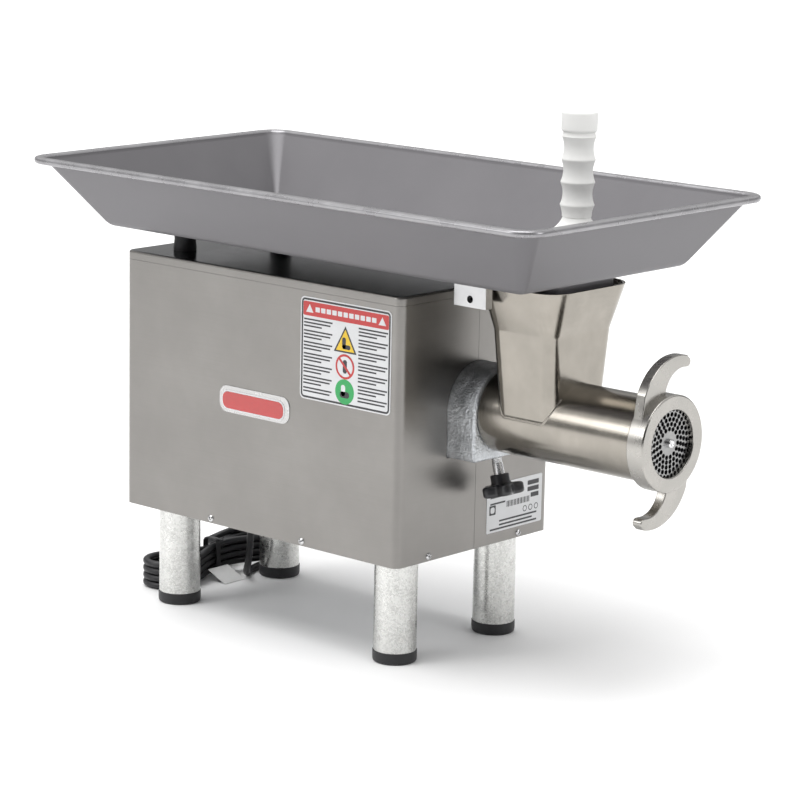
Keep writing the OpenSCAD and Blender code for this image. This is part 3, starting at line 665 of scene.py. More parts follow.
def settle(thing: bpy.types.Object, body: str, slot: str, *nodes: str) -> bpy.types.Object:
    """Puts a finished piece on its body.

    Args:
        thing: the piece.
        body: the body that it moves with.
        slot: not used.
        *nodes: CAD nodes that it stands for.

    Returns:
        The piece.
    """
    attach(thing, body)
    if nodes:
        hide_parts(*nodes)
    LOG.info("built %s on %s (%d faces)", thing.name, body, len(getattr(thing.data, "polygons", ())))
    return thing


# ---------------------------------------------------------------- geometry nodes


class Tree:
    """A Geometry Nodes tree with named inputs, which ends in Realize Instances and Set Material."""

    def __init__(self, name: str, sizes: dict[str, float]) -> None:
        """Starts a tree.

        Args:
            name: the tree's name.
            sizes: the names and the defaults of its inputs, in metres.
        """
        self.group = bpy.data.node_groups.new(name, "GeometryNodeTree")
        face = self.group.interface
        face.new_socket("Geometry", in_out="OUTPUT", socket_type="NodeSocketGeometry")
        face.new_socket("Geometry", in_out="INPUT", socket_type="NodeSocketGeometry")
        self.keys: dict[str, str] = {}
        for label, value in sizes.items():
            socket = face.new_socket(label, in_out="INPUT", socket_type="NodeSocketFloat")
            socket.default_value = value
            self.keys[label] = socket.identifier
        finish = face.new_socket("Finish", in_out="INPUT", socket_type="NodeSocketMaterial")
        self.keys["Finish"] = finish.identifier
        self.inputs = self.group.nodes.new("NodeGroupInput").outputs
        self.result = self.group.nodes.new("NodeGroupOutput")

    def add(self, kind: str, sockets: dict | None = None, **settings: object) -> bpy.types.Node:
        """Adds a node.

        Args:
            kind: the node's type name.
            sockets: input name or number to a value, an output socket or a list of output sockets.
            **settings: the node's own properties.

        Returns:
            The new node.
        """
        node = self.group.nodes.new(kind)
        for name, value in settings.items():
            setattr(node, name, value)
        for name, value in (sockets or {}).items():
            for one in value if isinstance(value, list) else [value]:
                if isinstance(one, bpy.types.NodeSocket):
                    self.group.links.new(one, node.inputs[name])
                else:
                    node.inputs[name].default_value = one
        return node

    def maths(self, operation: str, a: object, b: object) -> bpy.types.NodeSocket:
        """A sum, product or the like of two values."""
        return self.add("ShaderNodeMath", {0: a, 1: b}, operation=operation).outputs[0]

    def triple(self, a: object, b: object, c: object) -> bpy.types.NodeSocket:
        """A vector of three values."""
        return self.add("ShaderNodeCombineXYZ", {0: a, 1: b, 2: c}).outputs[0]

    def named(self, label: str, kind: str = "FLOAT_VECTOR") -> bpy.types.NodeSocket:
        """An attribute that the seed's points carry."""
        return self.add("GeometryNodeInputNamedAttribute", {"Name": label}, data_type=kind).outputs[0]

    def facing(self, vector: bpy.types.NodeSocket, axis: str = "Z") -> bpy.types.NodeSocket:
        """A rotation that points an axis along a vector."""
        return self.add("FunctionNodeAlignRotationToVector", {"Vector": vector}, axis=axis).outputs[0]

    def close(self, instances: bpy.types.NodeSocket) -> "Tree":
        """Ends the tree: real geometry, smooth, in its finish.

        Args:
            instances: what is made real.

        Returns:
            The tree itself.
        """
        real = self.add("GeometryNodeRealizeInstances", {"Geometry": instances}).outputs[0]
        smooth = self.add("GeometryNodeSetShadeSmooth", {"Geometry": real}).outputs[0]
        last = self.add("GeometryNodeSetMaterial", {"Geometry": smooth, "Material": self.inputs["Finish"]})
        self.group.links.new(last.outputs[0], self.result.inputs[0])
        return self

    def grow(self, name: str, seed: bpy.types.Mesh, finish: Finish, sharp: float = 40.0,
             **sizes: float) -> bpy.types.Object:
        """Runs the tree on a seed mesh.

        Args:
            name: the new object's name.
            seed: the points or line that it starts from.
            finish: its finish.
            sharp: the angle past which an edge stays sharp, in degrees.
            **sizes: inputs by name, with underscores for spaces, in millimetres.

        Returns:
            A plain object.
        """
        carrier = bpy.data.objects.new(name + "_seed", seed)
        bpy.context.scene.collection.objects.link(carrier)
        growth = carrier.modifiers.new("growth", "NODES")
        growth.node_group = self.group
        growth[self.keys["Finish"]] = finish.build()
        for label, value in sizes.items():
            growth[self.keys[label.replace("_", " ")]] = value * MM
        mesh = baked(carrier).data
        bpy.data.objects.remove(carrier)
        mesh.materials.clear()
        mesh.materials.append(finish.build())
        return finished(name, mesh, sharp)


def seeds(name: str, places: Sequence[Vector], closed: bool = False,
          **attributes: Sequence) -> bpy.types.Mesh:
    """A mesh of points, or of one closed line, that carries attributes.

    Args:
        name: the mesh's name.
        places: the points, in the frame.
        closed: whether edges join them into a closed line.
        **attributes: numbers or vectors, one for each point.

    Returns:
        The mesh.
    """
    mesh = bpy.data.meshes.new(name)
    n = len(places)
    mesh.from_pydata([tuple(p) for p in places], [(k, (k + 1) % n) for k in range(n)] if closed else [], [])
    for label, values in attributes.items():
        flat = isinstance(values[0], (int, float))
        layer = mesh.attributes.new(label, "FLOAT" if flat else "FLOAT_VECTOR", "POINT")
        for k, value in enumerate(values):
            if flat:
                layer.data[k].value = value
            else:
                layer.data[k].vector = value
    return mesh


def screw_tree() -> Tree:
    """Pan-head screws with a cross recess, each turned at random, on points that carry `facing`.

    Returns:
        The tree.
    """
    tree = Tree("cross_head_screws",
                {"Head diameter": 8.4 * MM, "Head height": 2.6 * MM, "Recess width": 1.1 * MM})
    wide, tall, slot = (tree.inputs[k] for k in ("Head diameter", "Head height", "Recess width"))
    half = tree.maths("MULTIPLY", wide, 0.5)
    ball = tree.add("GeometryNodeMeshUVSphere", {"Segments": 32, "Rings": 16, "Radius": 1.0}).outputs[0]
    dome = tree.add("GeometryNodeTransform",
                    {"Geometry": ball, "Scale": tree.triple(half, half, tall)}).outputs[0]
    big = tree.maths("MULTIPLY", wide, 2.0)
    block = tree.add("GeometryNodeMeshCube", {"Size": tree.triple(big, big, big)}).outputs[0]
    under = tree.add("GeometryNodeTransform", {
        "Geometry": block, "Translation": tree.triple(0.0, 0.0,
                                                      tree.maths("MULTIPLY", wide, -1.0))}).outputs[0]
    reach = tree.maths("MULTIPLY", wide, 0.56)
    bar = tree.add("GeometryNodeMeshCube", {"Size": tree.triple(reach, slot, tall)}).outputs[0]
    lift = tree.triple(0.0, 0.0, tree.maths("MULTIPLY", tall, 1.05))
    one = tree.add("GeometryNodeTransform", {"Geometry": bar, "Translation": lift}).outputs[0]
    two = tree.add("GeometryNodeTransform", {"Geometry": bar, "Translation": lift,
                                             "Rotation": (0.0, 0.0, math.pi / 2)}).outputs[0]
    head = tree.add("GeometryNodeMeshBoolean", {"Mesh 1": dome, "Mesh 2": [under, one, two]},
                    operation="DIFFERENCE").outputs[0]
    spin = tree.add("FunctionNodeRandomValue", {"Min": 0.0, "Max": 1.5, "Seed": 7},
                    data_type="FLOAT").outputs[1]
    set_out = tree.add("GeometryNodeInstanceOnPoints", {
        "Points": tree.inputs["Geometry"], "Instance": head,
        "Rotation": tree.facing(tree.named("facing"))}).outputs[0]
    turned = tree.add("GeometryNodeRotateInstances", {
        "Instances": set_out, "Rotation": tree.triple(0.0, 0.0, spin)}).outputs[0]
    return tree.close(turned)


def ring_tree() -> Tree:
    """Round beads on points that carry `facing` and `girth`, which multiplies the ring's radius.

    Returns:
        The tree.
    """
    tree = Tree("bead_rings", {"Ring radius": 1.0 * MM, "Bead radius": 0.2 * MM})
    circle = tree.add("GeometryNodeCurvePrimitiveCircle", {"Resolution": 24,
                                                           "Radius": tree.inputs["Ring radius"]}).outputs[0]
    wire = tree.add("GeometryNodeCurvePrimitiveCircle", {"Resolution": 8,
                                                         "Radius": tree.inputs["Bead radius"]}).outputs[0]
    bead = tree.add("GeometryNodeCurveToMesh", {"Curve": circle, "Profile Curve": wire}).outputs[0]
    girth = tree.named("girth", "FLOAT")
    return tree.close(tree.add("GeometryNodeInstanceOnPoints", {
        "Points": tree.inputs["Geometry"], "Instance": bead, "Rotation": tree.facing(tree.named("facing")),
        "Scale": tree.triple(girth, girth, 1.0)}).outputs[0])


def weld_tree() -> Tree:
    """Overlapping weld ripples along a closed line.

    Returns:
        The tree.
    """
    tree = Tree("weld_ripples", {"Ripple pitch": 1.4 * MM, "Bead width": 3.2 * MM, "Bead height": 1.2 * MM})
    line = tree.add("GeometryNodeMeshToCurve", {"Mesh": tree.inputs["Geometry"]}).outputs[0]
    steps = tree.add("GeometryNodeResampleCurve", {"Curve": line, "Length": tree.inputs["Ripple pitch"]},
                     mode="LENGTH")
    ball = tree.add("GeometryNodeMeshIcoSphere", {"Radius": 0.5, "Subdivisions": 2}).outputs[0]
    tangent = tree.add("GeometryNodeInputTangent").outputs[0]
    lying = tree.add("FunctionNodeAlignRotationToVector", {
        "Rotation": tree.facing(tangent, "X"), "Vector": tree.named("outward")}, axis="Z",
        pivot_axis="X").outputs[0]
    long = tree.maths("MULTIPLY", tree.inputs["Ripple pitch"], 2.6)
    tall = tree.maths("MULTIPLY", tree.inputs["Bead height"], 2.0)
    return tree.close(tree.add("GeometryNodeInstanceOnPoints", {
        "Points": steps.outputs[0], "Instance": ball, "Rotation": lying,
        "Scale": tree.triple(long, tree.inputs["Bead width"], tall)}).outputs[0])


def hood_tree() -> Tree:
    """Pressed hoods over vent slots, on points that carry `facing`.

    Returns:
        The tree.
    """
    tree = Tree("vent_hoods", {"Hood length": 66.0 * MM, "Hood height": 9.0 * MM, "Hood depth": 6.0 * MM,
                               "Sheet": 1.0 * MM})
    long, tall, deep, sheet = (tree.inputs[k] for k in ("Hood length", "Hood height", "Hood depth", "Sheet"))
    ball = tree.add("GeometryNodeMeshUVSphere", {"Segments": 40, "Rings": 20, "Radius": 1.0}).outputs[0]
    half = tree.maths("MULTIPLY", long, 0.5)
    outer = tree.add("GeometryNodeTransform",
                     {"Geometry": ball, "Scale": tree.triple(tall, half, deep)}).outputs[0]
    inner = tree.add("GeometryNodeTransform", {"Geometry": ball, "Scale": tree.triple(
        tree.maths("SUBTRACT", tall, sheet), tree.maths("SUBTRACT", half, sheet),
        tree.maths("SUBTRACT", deep, sheet))}).outputs[0]
    block = tree.add("GeometryNodeMeshCube", {"Size": tree.triple(long, long, long)}).outputs[0]
    down = tree.maths("MULTIPLY", half, -1.0)
    behind = tree.add("GeometryNodeTransform", {"Geometry": block,
                                                "Translation": tree.triple(0.0, 0.0, down)}).outputs[0]
    below = tree.add("GeometryNodeTransform", {"Geometry": block,
                                               "Translation": tree.triple(down, 0.0, 0.0)}).outputs[0]
    hood = tree.add("GeometryNodeMeshBoolean", {"Mesh 1": outer, "Mesh 2": [inner, behind, below]},
                    operation="DIFFERENCE").outputs[0]
    lying = tree.add("FunctionNodeAlignRotationToVector", {
        "Rotation": tree.facing(tree.named("facing")), "Vector": (0.0, 0.0, 1.0)}, axis="X",
        pivot_axis="Z").outputs[0]
    return tree.close(tree.add("GeometryNodeInstanceOnPoints", {
        "Points": tree.inputs["Geometry"], "Instance": hood, "Rotation": lying}).outputs[0])


def line_tree() -> Tree:
    """Rows of small print as plain bars, on points that carry `reach` and `facing`.

    Returns:
        The tree.
    """
    tree = Tree("print_lines", {"Line height": 1.0 * MM, "Line thickness": 0.1 * MM})
    bar = tree.add("GeometryNodeMeshCube", {"Size": (1.0, 1.0, 1.0)}).outputs[0]
    lying = tree.add("FunctionNodeAlignRotationToVector", {
        "Rotation": tree.facing(tree.named("facing")), "Vector": (0.0, 0.0, 1.0)}, axis="Y",
        pivot_axis="Z").outputs[0]
    return tree.close(tree.add("GeometryNodeInstanceOnPoints", {
        "Points": tree.inputs["Geometry"], "Instance": bar, "Rotation": lying,
        "Scale": tree.triple(tree.named("reach", "FLOAT"), tree.inputs["Line height"],
                             tree.inputs["Line thickness"])}).outputs[0])


# ---------------------------------------------------------------- camera, floor and light


@dataclass
class Studio:
    """A pale sweep with soft light, and the camera."""

    eye: Spot = (2.30104, -2.57267, 1.00418)
    yaw: float = 41.70047
    pitch: float = -11.98587
    roll: float = 1.14211
    lens: float = 139.68
    sun: float = 3.0
    sun_spread: float = 58.0
    sun_from: Spot = (-0.12, -0.16, 1.0)
    lamps: tuple[tuple[str, Spot, Spot, float, float], ...] = (
        ("left_softbox", (-1.2, -2.6, 1.6), (0.0, 0.0, 0.35), 1.4, 22.0),
        ("right_softbox", (3.0, 0.4, 1.6), (0.2, 0.0, 0.35), 1.1, 15.0))

    def camera(self) -> None:
        """Makes the camera and gives it to the scene."""
        yaw, pitch, roll = (math.radians(a) for a in (self.yaw, self.pitch, self.roll))
        right = Vector((math.cos(yaw), math.sin(yaw), 0))
        ahead = Vector((-math.sin(yaw), math.cos(yaw), 0))
        look = ahead * math.cos(pitch) + Z * math.sin(pitch)
        up = Z * math.cos(pitch) - ahead * math.sin(pitch)
        tilted = right * math.cos(roll) + up * math.sin(roll)
        risen = up * math.cos(roll) - right * math.sin(roll)
        data = bpy.data.cameras.new("camera")
        data.lens, data.sensor_width, data.clip_end = self.lens, 36.0, 60.0
        eye = bpy.data.objects.new("camera", data)
        eye.matrix_world = Matrix.Translation(self.eye) @ Matrix((tilted, risen, -look)).transposed().to_4x4()
        bpy.context.scene.collection.objects.link(eye)
        bpy.context.scene.camera = eye
        LOG.info("placed the camera")

    def light(self) -> None:
        """Makes the lamps, the sky and the floor."""
        scene = bpy.context.scene
        scene.view_settings.view_transform = "Standard"
        for name, place, aim, size, power in self.lamps:
            data = bpy.data.lights.new(name, "AREA")
            data.shape, data.size, data.energy = "DISK", size, power
            lamp = bpy.data.objects.new(name, data)
            lamp.location = place
            lamp.rotation_euler = (Vector(aim) - Vector(place)).to_track_quat("-Z", "Y").to_euler()
            scene.collection.objects.link(lamp)
        data = bpy.data.lights.new("overhead_light", "SUN")
        data.energy, data.angle = self.sun, math.radians(self.sun_spread)
        lamp = bpy.data.objects.new("overhead_light", data)
        lamp.rotation_euler = Vector(self.sun_from).to_track_quat("Z", "Y").to_euler()
        scene.collection.objects.link(lamp)
        self.sky()
        sweep = Shell()
        sweep.prism([(-9000, -9000), (9000, -9000), (9000, 9000), (-9000, 9000)], upright(0, 0), -20, 0)
        floor = sweep.object("floor", [Finish("pale_floor", (0.93, 0.93, 0.93), (0.92, 0.92, 0.92), 0.0,
                                              (0.55, 0.6), 2.0)])
        LOG.info("lit the studio")

    def sky(self) -> None:
        """A white backdrop, which pieces reflect as a darker room with a bright ceiling."""
        world = bpy.data.worlds.new("sky")
        world.use_nodes = True
        nodes, links = world.node_tree.nodes, world.node_tree.links
        back = nodes["Background"]
        rise = nodes.new("ShaderNodeSeparateXYZ")
        links.new(nodes.new("ShaderNodeTexCoord").outputs["Generated"], rise.inputs[0])
        ramp = nodes.new("ShaderNodeValToRGB")
        links.new(rise.outputs[2], ramp.inputs[0])
        stops = ramp.color_ramp.elements
        for place, grey in ((0.22, 0.26), (0.55, 0.95)):
            stops.new(place).color = (grey, grey, grey, 1.0)
        stops[0].color, stops[-1].color = (0.50, 0.50, 0.50, 1.0), (0.75, 0.75, 0.75, 1.0)
        facing = nodes.new("ShaderNodeVectorMath")
        facing.operation = "DOT_PRODUCT"
        links.new(rise.inputs[0].links[0].from_socket, facing.inputs[0])
        facing.inputs[1].default_value = Vector(self.eye).normalized()
        dim = nodes.new("ShaderNodeMapRange")
        dim.inputs[1].default_value, dim.inputs[2].default_value = 0.55, 0.95
        dim.inputs[3].default_value, dim.inputs[4].default_value = 1.0, 0.12
        links.new(facing.outputs["Value"], dim.inputs[0])
        room = nodes.new("ShaderNodeVectorMath")
        room.operation = "SCALE"
        links.new(ramp.outputs[0], room.inputs[0])
        links.new(dim.outputs[0], room.inputs["Scale"])
        mix = nodes.new("ShaderNodeMix")
        mix.data_type = "RGBA"
        links.new(nodes.new("ShaderNodeLightPath").outputs["Is Camera Ray"], mix.inputs[0])
        links.new(room.outputs[0], mix.inputs[6])
        mix.inputs[7].default_value = (1.0, 1.0, 1.0, 1.0)
        links.new(mix.outputs[2], back.inputs[0])
        bpy.context.scene.world = world


# ---------------------------------------------------------------- mains cord


@dataclass
class MainsCord:
    """The flexible lead: down from its gland, through a tied hank, and out to its plug."""

    girth: float = 8.6
    length: float = 2.25
    exit: Spot = (-372.0, 22.0, 92.0)
    middle: Flat = (-444.0, 28.0)
    run: float = 75.0
    fold: float = 25.5
    waist: float = 4.5
    floor_z: float = 4.6
    turns: int = 4
    lead: list[Spot] = field(default_factory=lambda: [
        (-372, 22, 92), (-372, 22, 80), (-372, 22, 68), (-373, 22.6, 56), (-376, 24.5, 42), (-381, 28, 29),
        (-388, 33, 18), (-396, 40, 9.5), (-403.5, 49, 5.4), (-410, 60, 4.6), (-414.6, 72, 4.6),
        (-417.4, 84, 4.6), (-418.4, 94, 4.6)])
    tail: list[Spot] = field(default_factory=lambda: [
        (-469.9, 94, 38.8), (-471.5, 84, 37.6), (-475, 75, 35), (-481, 68.5, 31), (-488.5, 66.5, 26.5),
        (-495.5, 70, 22.4), (-500.2, 77.5, 19), (-502.4, 87, 16.8), (-503, 97, 15.6), (-503, 112, 15.2)])
    plug_at: Spot = (-503.0, 106.0, 15.2)

    def side(self, y: float) -> float:
        """How far a run lies from the hank's middle line, at y from its middle."""
        t = min(1.0, abs(y) / self.run)
        return self.waist + (self.fold - self.waist) * t * t * (3 - 2 * t)

    def hank(self) -> list[Spot]:
        """The turns of the hank, from where the lead joins it to where the tail leaves.

        Returns:
            Its points, in millimetres.
        """
        found: list[Spot] = []
        cx, cy = self.middle
        for turn in range(self.turns + 1):
            z = self.floor_z + self.girth * turn
            found += [(cx + px, cy + py, z) for px, py in arc((0, self.run), self.fold, 0, 180, 8)]
            if turn == self.turns:
                break
            marks = [self.run * (1 - 2 * k / 10) for k in range(1, 10)]
            found += [(cx - self.side(y), cy + y, z) for y in marks]
            found += [(cx + px, cy + py, z) for px, py in arc((0, -self.run), self.fold, 180, 360, 8)]
            for y in reversed(marks):
                t = max(0.0, min(1.0, (y + 40.0) / 80.0))
                found.append((cx + self.side(y), cy + y, z + self.girth * t * t * (3 - 2 * t)))
        return found

    def cord(self) -> bpy.types.Object:
        """The cord itself, as one smooth curve.

        Returns:
            The cord.
        """
        route = self.lead + self.hank() + self.tail
        data = bpy.data.curves.new("mains_cord", "CURVE")
        data.dimensions, data.bevel_depth, data.bevel_resolution = "3D", self.girth * MM / 2, 5
        data.resolution_u, data.use_fill_caps = 4, True
        line = data.splines.new("BEZIER")
        line.bezier_points.add(len(route) - 1)
        for point, place in zip(line.bezier_points, route):
            point.co = at(*place)
            point.handle_left_type = point.handle_right_type = "AUTO"
        data.materials.append(CORD_RUBBER.build())
        cord = bpy.data.objects.new("mains_cord", data)
        bpy.context.scene.collection.objects.link(cord)
        return settle(cord, "housing", "cord_black", "cord_lead", "cord_hank")

    def plug(self) -> list[bpy.types.Object]:
        """The moulded plug, the ribs of its sleeve, and its blades.

        Returns:
            The body, the ribs and the blades.
        """
        place = basis(self.plug_at, -X, Z, Y)
        grip = Shell()
        rings = []
        for reach, wide, tall, corner in ((0, 11, 11, 5.4), (3, 12.4, 12.4, 6), (13, 17, 17, 8.4),
                                          (15, 19, 19, 8.6),
                                          (17, 24.5, 23.5, 9), (20, 27, 26, 9.5), (26, 26, 25, 9.5),
                                          (31, 26, 25, 9.5),
                                          (35, 27.8, 27.2, 9.5), (37.2, 28, 28, 9.5), (38, 27, 27, 9)):
            rings.append([place @ Vector((u, v, reach)) for u, v in round_box(wide, tall, corner)])
        grip.skin(rings)
        body = settle(grip.object("plug_body", [BLACK_RUBBER], 40), "housing", "cord_black", "plug")
        ribs = [4, 6.4, 8.8, 11.2]
        collar = ring_tree().grow("plug_ribs", seeds(
            "plug_ribs", [place @ Vector((0, 0, s)) for s in ribs], facing=[Y] * 4,
            girth=[(6.0 + 0.23 * (s - 3)) for s in ribs]), BLACK_RUBBER, Ring_radius=1.0, Bead_radius=0.75)
        settle(collar, "housing", "cord_black")
        pins = Shell()
        for side in (-6.35, 6.35):
            blade = [place @ Matrix.Translation((side, 3.15, 0)) @ Vector((u, v, s)) for s, g in
                     ((36, 0), (54.6, 0), (56, 0.5))
                     for u, v in round_box(1.5 - g, 6.3 - 2 * g, 0.35, steps=2)]
            n = len(blade) // 3
            pins.skin([blade[:n], blade[n:2 * n], blade[2 * n:]])
        pins.lathe([(2.4, 36), (2.4, 55.5), (1.9, 57.2), (1.0, 58)], place @ Matrix.Translation((0, -8, 0)),
                   steps=24)
        blades = settle(pins.object("plug_blades", [PLUG_BRASS], 40), "housing", "screw_zinc")
        return [body, collar, blades]

    def band(self) -> bpy.types.Object:
        """The twist tie round the hank's waist, with its two twisted ends.

        Returns:
            The tie.
        """
        low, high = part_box("cord_tie")
        mid = (low + high) / 2
        place = basis(((mid.x - FRONT) / MM, low.y / MM, mid.z / MM), X, Z, Y)
        wide, tall = (high.x - low.x) / MM, (high.z - low.z) / MM
        strap = Shell()
        outer, inner = round_box(wide, tall, 7), round_box(wide - 2.4, tall - 2.4, 6)
        strap.skin([[place @ Vector((u, v, w)) for u, v in outline] for outline, w in
                    ((outer, 0.5), (outer, 7.5), (inner, 8.0), (inner, 0.0))], loop=True)
        strap.lathe([(1.3, 0), (1.6, 2), (1.2, 4), (1.6, 6), (1.2, 8), (1.6, 10), (0.9, 12)],
                    place @ Matrix.Translation((5, tall / 2 - 1.2, 4)) @ Matrix.Rotation(math.radians(78),
                                                                                         4, "Y"),
                    steps=16)
        return settle(strap.object("cord_band", [BLACK_RUBBER], 40), "housing", "cord_black", "cord_tie")

    def tag(self) -> bpy.types.Object:
        """A blank card tag that leans beside the hank, slightly curled.

        Returns:
            The tag.
        """
        low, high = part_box("cord_tag")
        x0, x1 = (high.x - FRONT) / MM, (low.x - FRONT) / MM
        y0, y1, rise = low.y / MM, high.y / MM, high.z / MM - 0.7
        card = Shell()
        rows = []
        for k in range(9):
            t = k / 8
            curl = 0.8 * math.sin(math.pi * t)
            rows.append([at(x0 + (x1 - x0) * t, y, 0.3 + rise * t * (0.9 + 0.1 * t) - curl * 0.4 + lift)
                         for y, lift in ((y0, 0.0), (y1, 0.0), (y1, 0.4), (y0, 0.4))])
        card.skin(rows)
        return settle(card.object("cord_tag_card", [TAG_CARD], 50), "housing", "tag_white", "cord_tag")

    def build(self) -> None:
        """Makes the cord and all that is on it."""
        dress(BLACK_PHENOLIC, "cord_gland")
        sleeve = [94.0 + 2.6 * k for k in range(7)]
        low = ring_tree().grow("gland_ribs", seeds(
            "gland_ribs", [at(self.exit[0], self.exit[1], z) for z in sleeve], facing=[Z] * 7,
            girth=[6.0 + 4.0 * (z - 92) / 22 for z in sleeve]), BLACK_RUBBER, Ring_radius=1.0,
            Bead_radius=0.7)
        settle(low, "housing", "cord_black")
        cord = self.cord()
        others = self.plug() + [self.band(), self.tag()]


# ---------------------------------------------------------------- body


@dataclass
class BodyShell:
    """Sheet-metal covers, their lid, the vented back and every screw."""

    length: float = 430.0
    width: float = 260.0
    corner: float = 10.0
    sheet: float = 1.5
    bend: float = 2.6

    def lid(self) -> bpy.types.Object:
        """The top cover, folded down at its edges over a soft bend.

        Returns:
            The lid.
        """
        low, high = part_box("top_cover")
        bottom, top = low.z / MM, high.z / MM
        steel = Shell()
        outer = [(0.0, bottom), (0.0, top - self.bend)]
        outer += [(self.bend - self.bend * math.cos(a), top - self.bend + self.bend * math.sin(a))
                  for a in (math.pi / 8 * k for k in range(1, 5))]
        outer += [(self.bend + 3.0, top), (self.bend + 40.0, top)]
        inner = [(self.bend + 40.0, top - self.sheet), (self.sheet + 1.0, top - self.sheet),
                 (self.sheet, top - self.sheet - 1.0), (self.sheet, bottom)]
        rings = [[at(-self.length / 2 + u, v, z) for u, v in round_box(
            self.length - 2 * inset, self.width - 2 * inset, self.corner - inset * 0.5)]
            for inset, z in outer + inner]
        n = len(outer)
        rows = [steel.ring(points) for points in rings]
        pairs = list(zip(rows[:n], rows[1:n])) + list(zip(rows[n:], rows[n + 1:])) + [(rows[-1], rows[0])]
        for step, (a, b) in enumerate(pairs):
            for k in range(len(a)):
                steel.face((a[k], a[(k + 1) % len(a)], b[(k + 1) % len(a)], b[k]), int(step < 4))
        steel.face(rows[n - 1])
        steel.face(rows[n][::-1])
        return settle(steel.object("lid", [LID_STEEL, BODY_STEEL], 40), "housing", "lid_steel", "top_cover")

    def screws(self) -> bpy.types.Object:
        """Cross-head screws at every fixing of the covers and of the back panel.

        Returns:
            The screws.
        """
        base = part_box("base_pan")[0].z / MM
        half, middle = self.width / 2, -self.length / 2
        low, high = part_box("rear_panel")
        places = [(middle + s * 72, side * half, base + 5.5, Y * side) for s in (-1, 1) for side in (-1, 1)]
        places += [(x, y, base + 5.5, face) for y in (-77, 77) for x, face in ((0, X), (-self.length, -X))]
        places += [(-self.length - self.sheet, y, z, -X) for y in (low.y / MM + 9, high.y / MM - 9)
                   for z in (low.z / MM + 12, high.z / MM - 12)]
        heads = screw_tree().grow("cover_screw_heads", seeds(
            "cover_screw_heads", [at(x, y, z) for x, y, z, _ in places],
            facing=[f for _, _, _, f in places]), BRIGHT_ZINC, 45, Head_diameter=8.4, Head_height=2.6,
            Recess_width=1.1)
        return settle(heads, "housing", "screw_zinc", "cover_screws")

    def hoods(self) -> bpy.types.Object:
        """Pressed hoods over the back panel's vent slots.

        Returns:
            The hoods.
        """
        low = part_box("rear_panel")[0]
        first = low.z / MM + 62.5
        places = [at(-self.length - self.sheet, y, first + 16 * k) for y in (-38, 38) for k in range(9)]
        hoods = hood_tree().grow("vent_hoods", seeds("vent_hoods", places, facing=[-X] * len(places)),
                                 BODY_STEEL, 40, Hood_length=66, Hood_height=5, Hood_depth=5.5, Sheet=0.9)
        return settle(hoods, "housing", "brushed_body")

    def build(self) -> None:
        """Makes and dresses the body."""
        dress(BODY_STEEL, "left_cover", "right_cover", "rear_panel")
        dress(PAN_STEEL, "base_pan")
        self.lid()
        self.screws()
        self.hoods()


@dataclass
class LegSet:
    """Four galvanised tubes on black rubber feet."""

    places: tuple[Flat, ...] = ((-40, -85), (-40, 85), (-384, -85), (-384, 85))
    tube: float = 48.5

    def feet(self) -> bpy.types.Object:
        """The rubber feet, each with a soft lower edge, a lip and a plug inside its tube.

        Returns:
            The feet.
        """
        rubber = Shell()
        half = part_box("foot_caps")[1].y / MM - 85
        profile = rounded([(1, 0.0, 0), (half - 2.2, 0.0, 0), (half - 0.5, 1.2, 1.0), (half, 5.0, 1.2),
                           (half, 13.5, 1.0), (self.tube / 2 - 1.6, 13.5, 0.5),
                           (self.tube / 2 - 1.6, 28.5, 0.9),
                           (1, 29.4, 0)])
        for x, y in self.places:
            rubber.lathe(profile, upright(x, y))
        return settle(rubber.object("rubber_feet", [BLACK_RUBBER], 40), "housing", "foot_rubber", "foot_caps")

    def build(self) -> None:
        """Makes and dresses the legs."""
        dress(ZINC_TUBE, "leg_tubes")
        dress(PAN_STEEL, "leg_flanges")
        self.feet()


# ---------------------------------------------------------------- drive hub and clamp


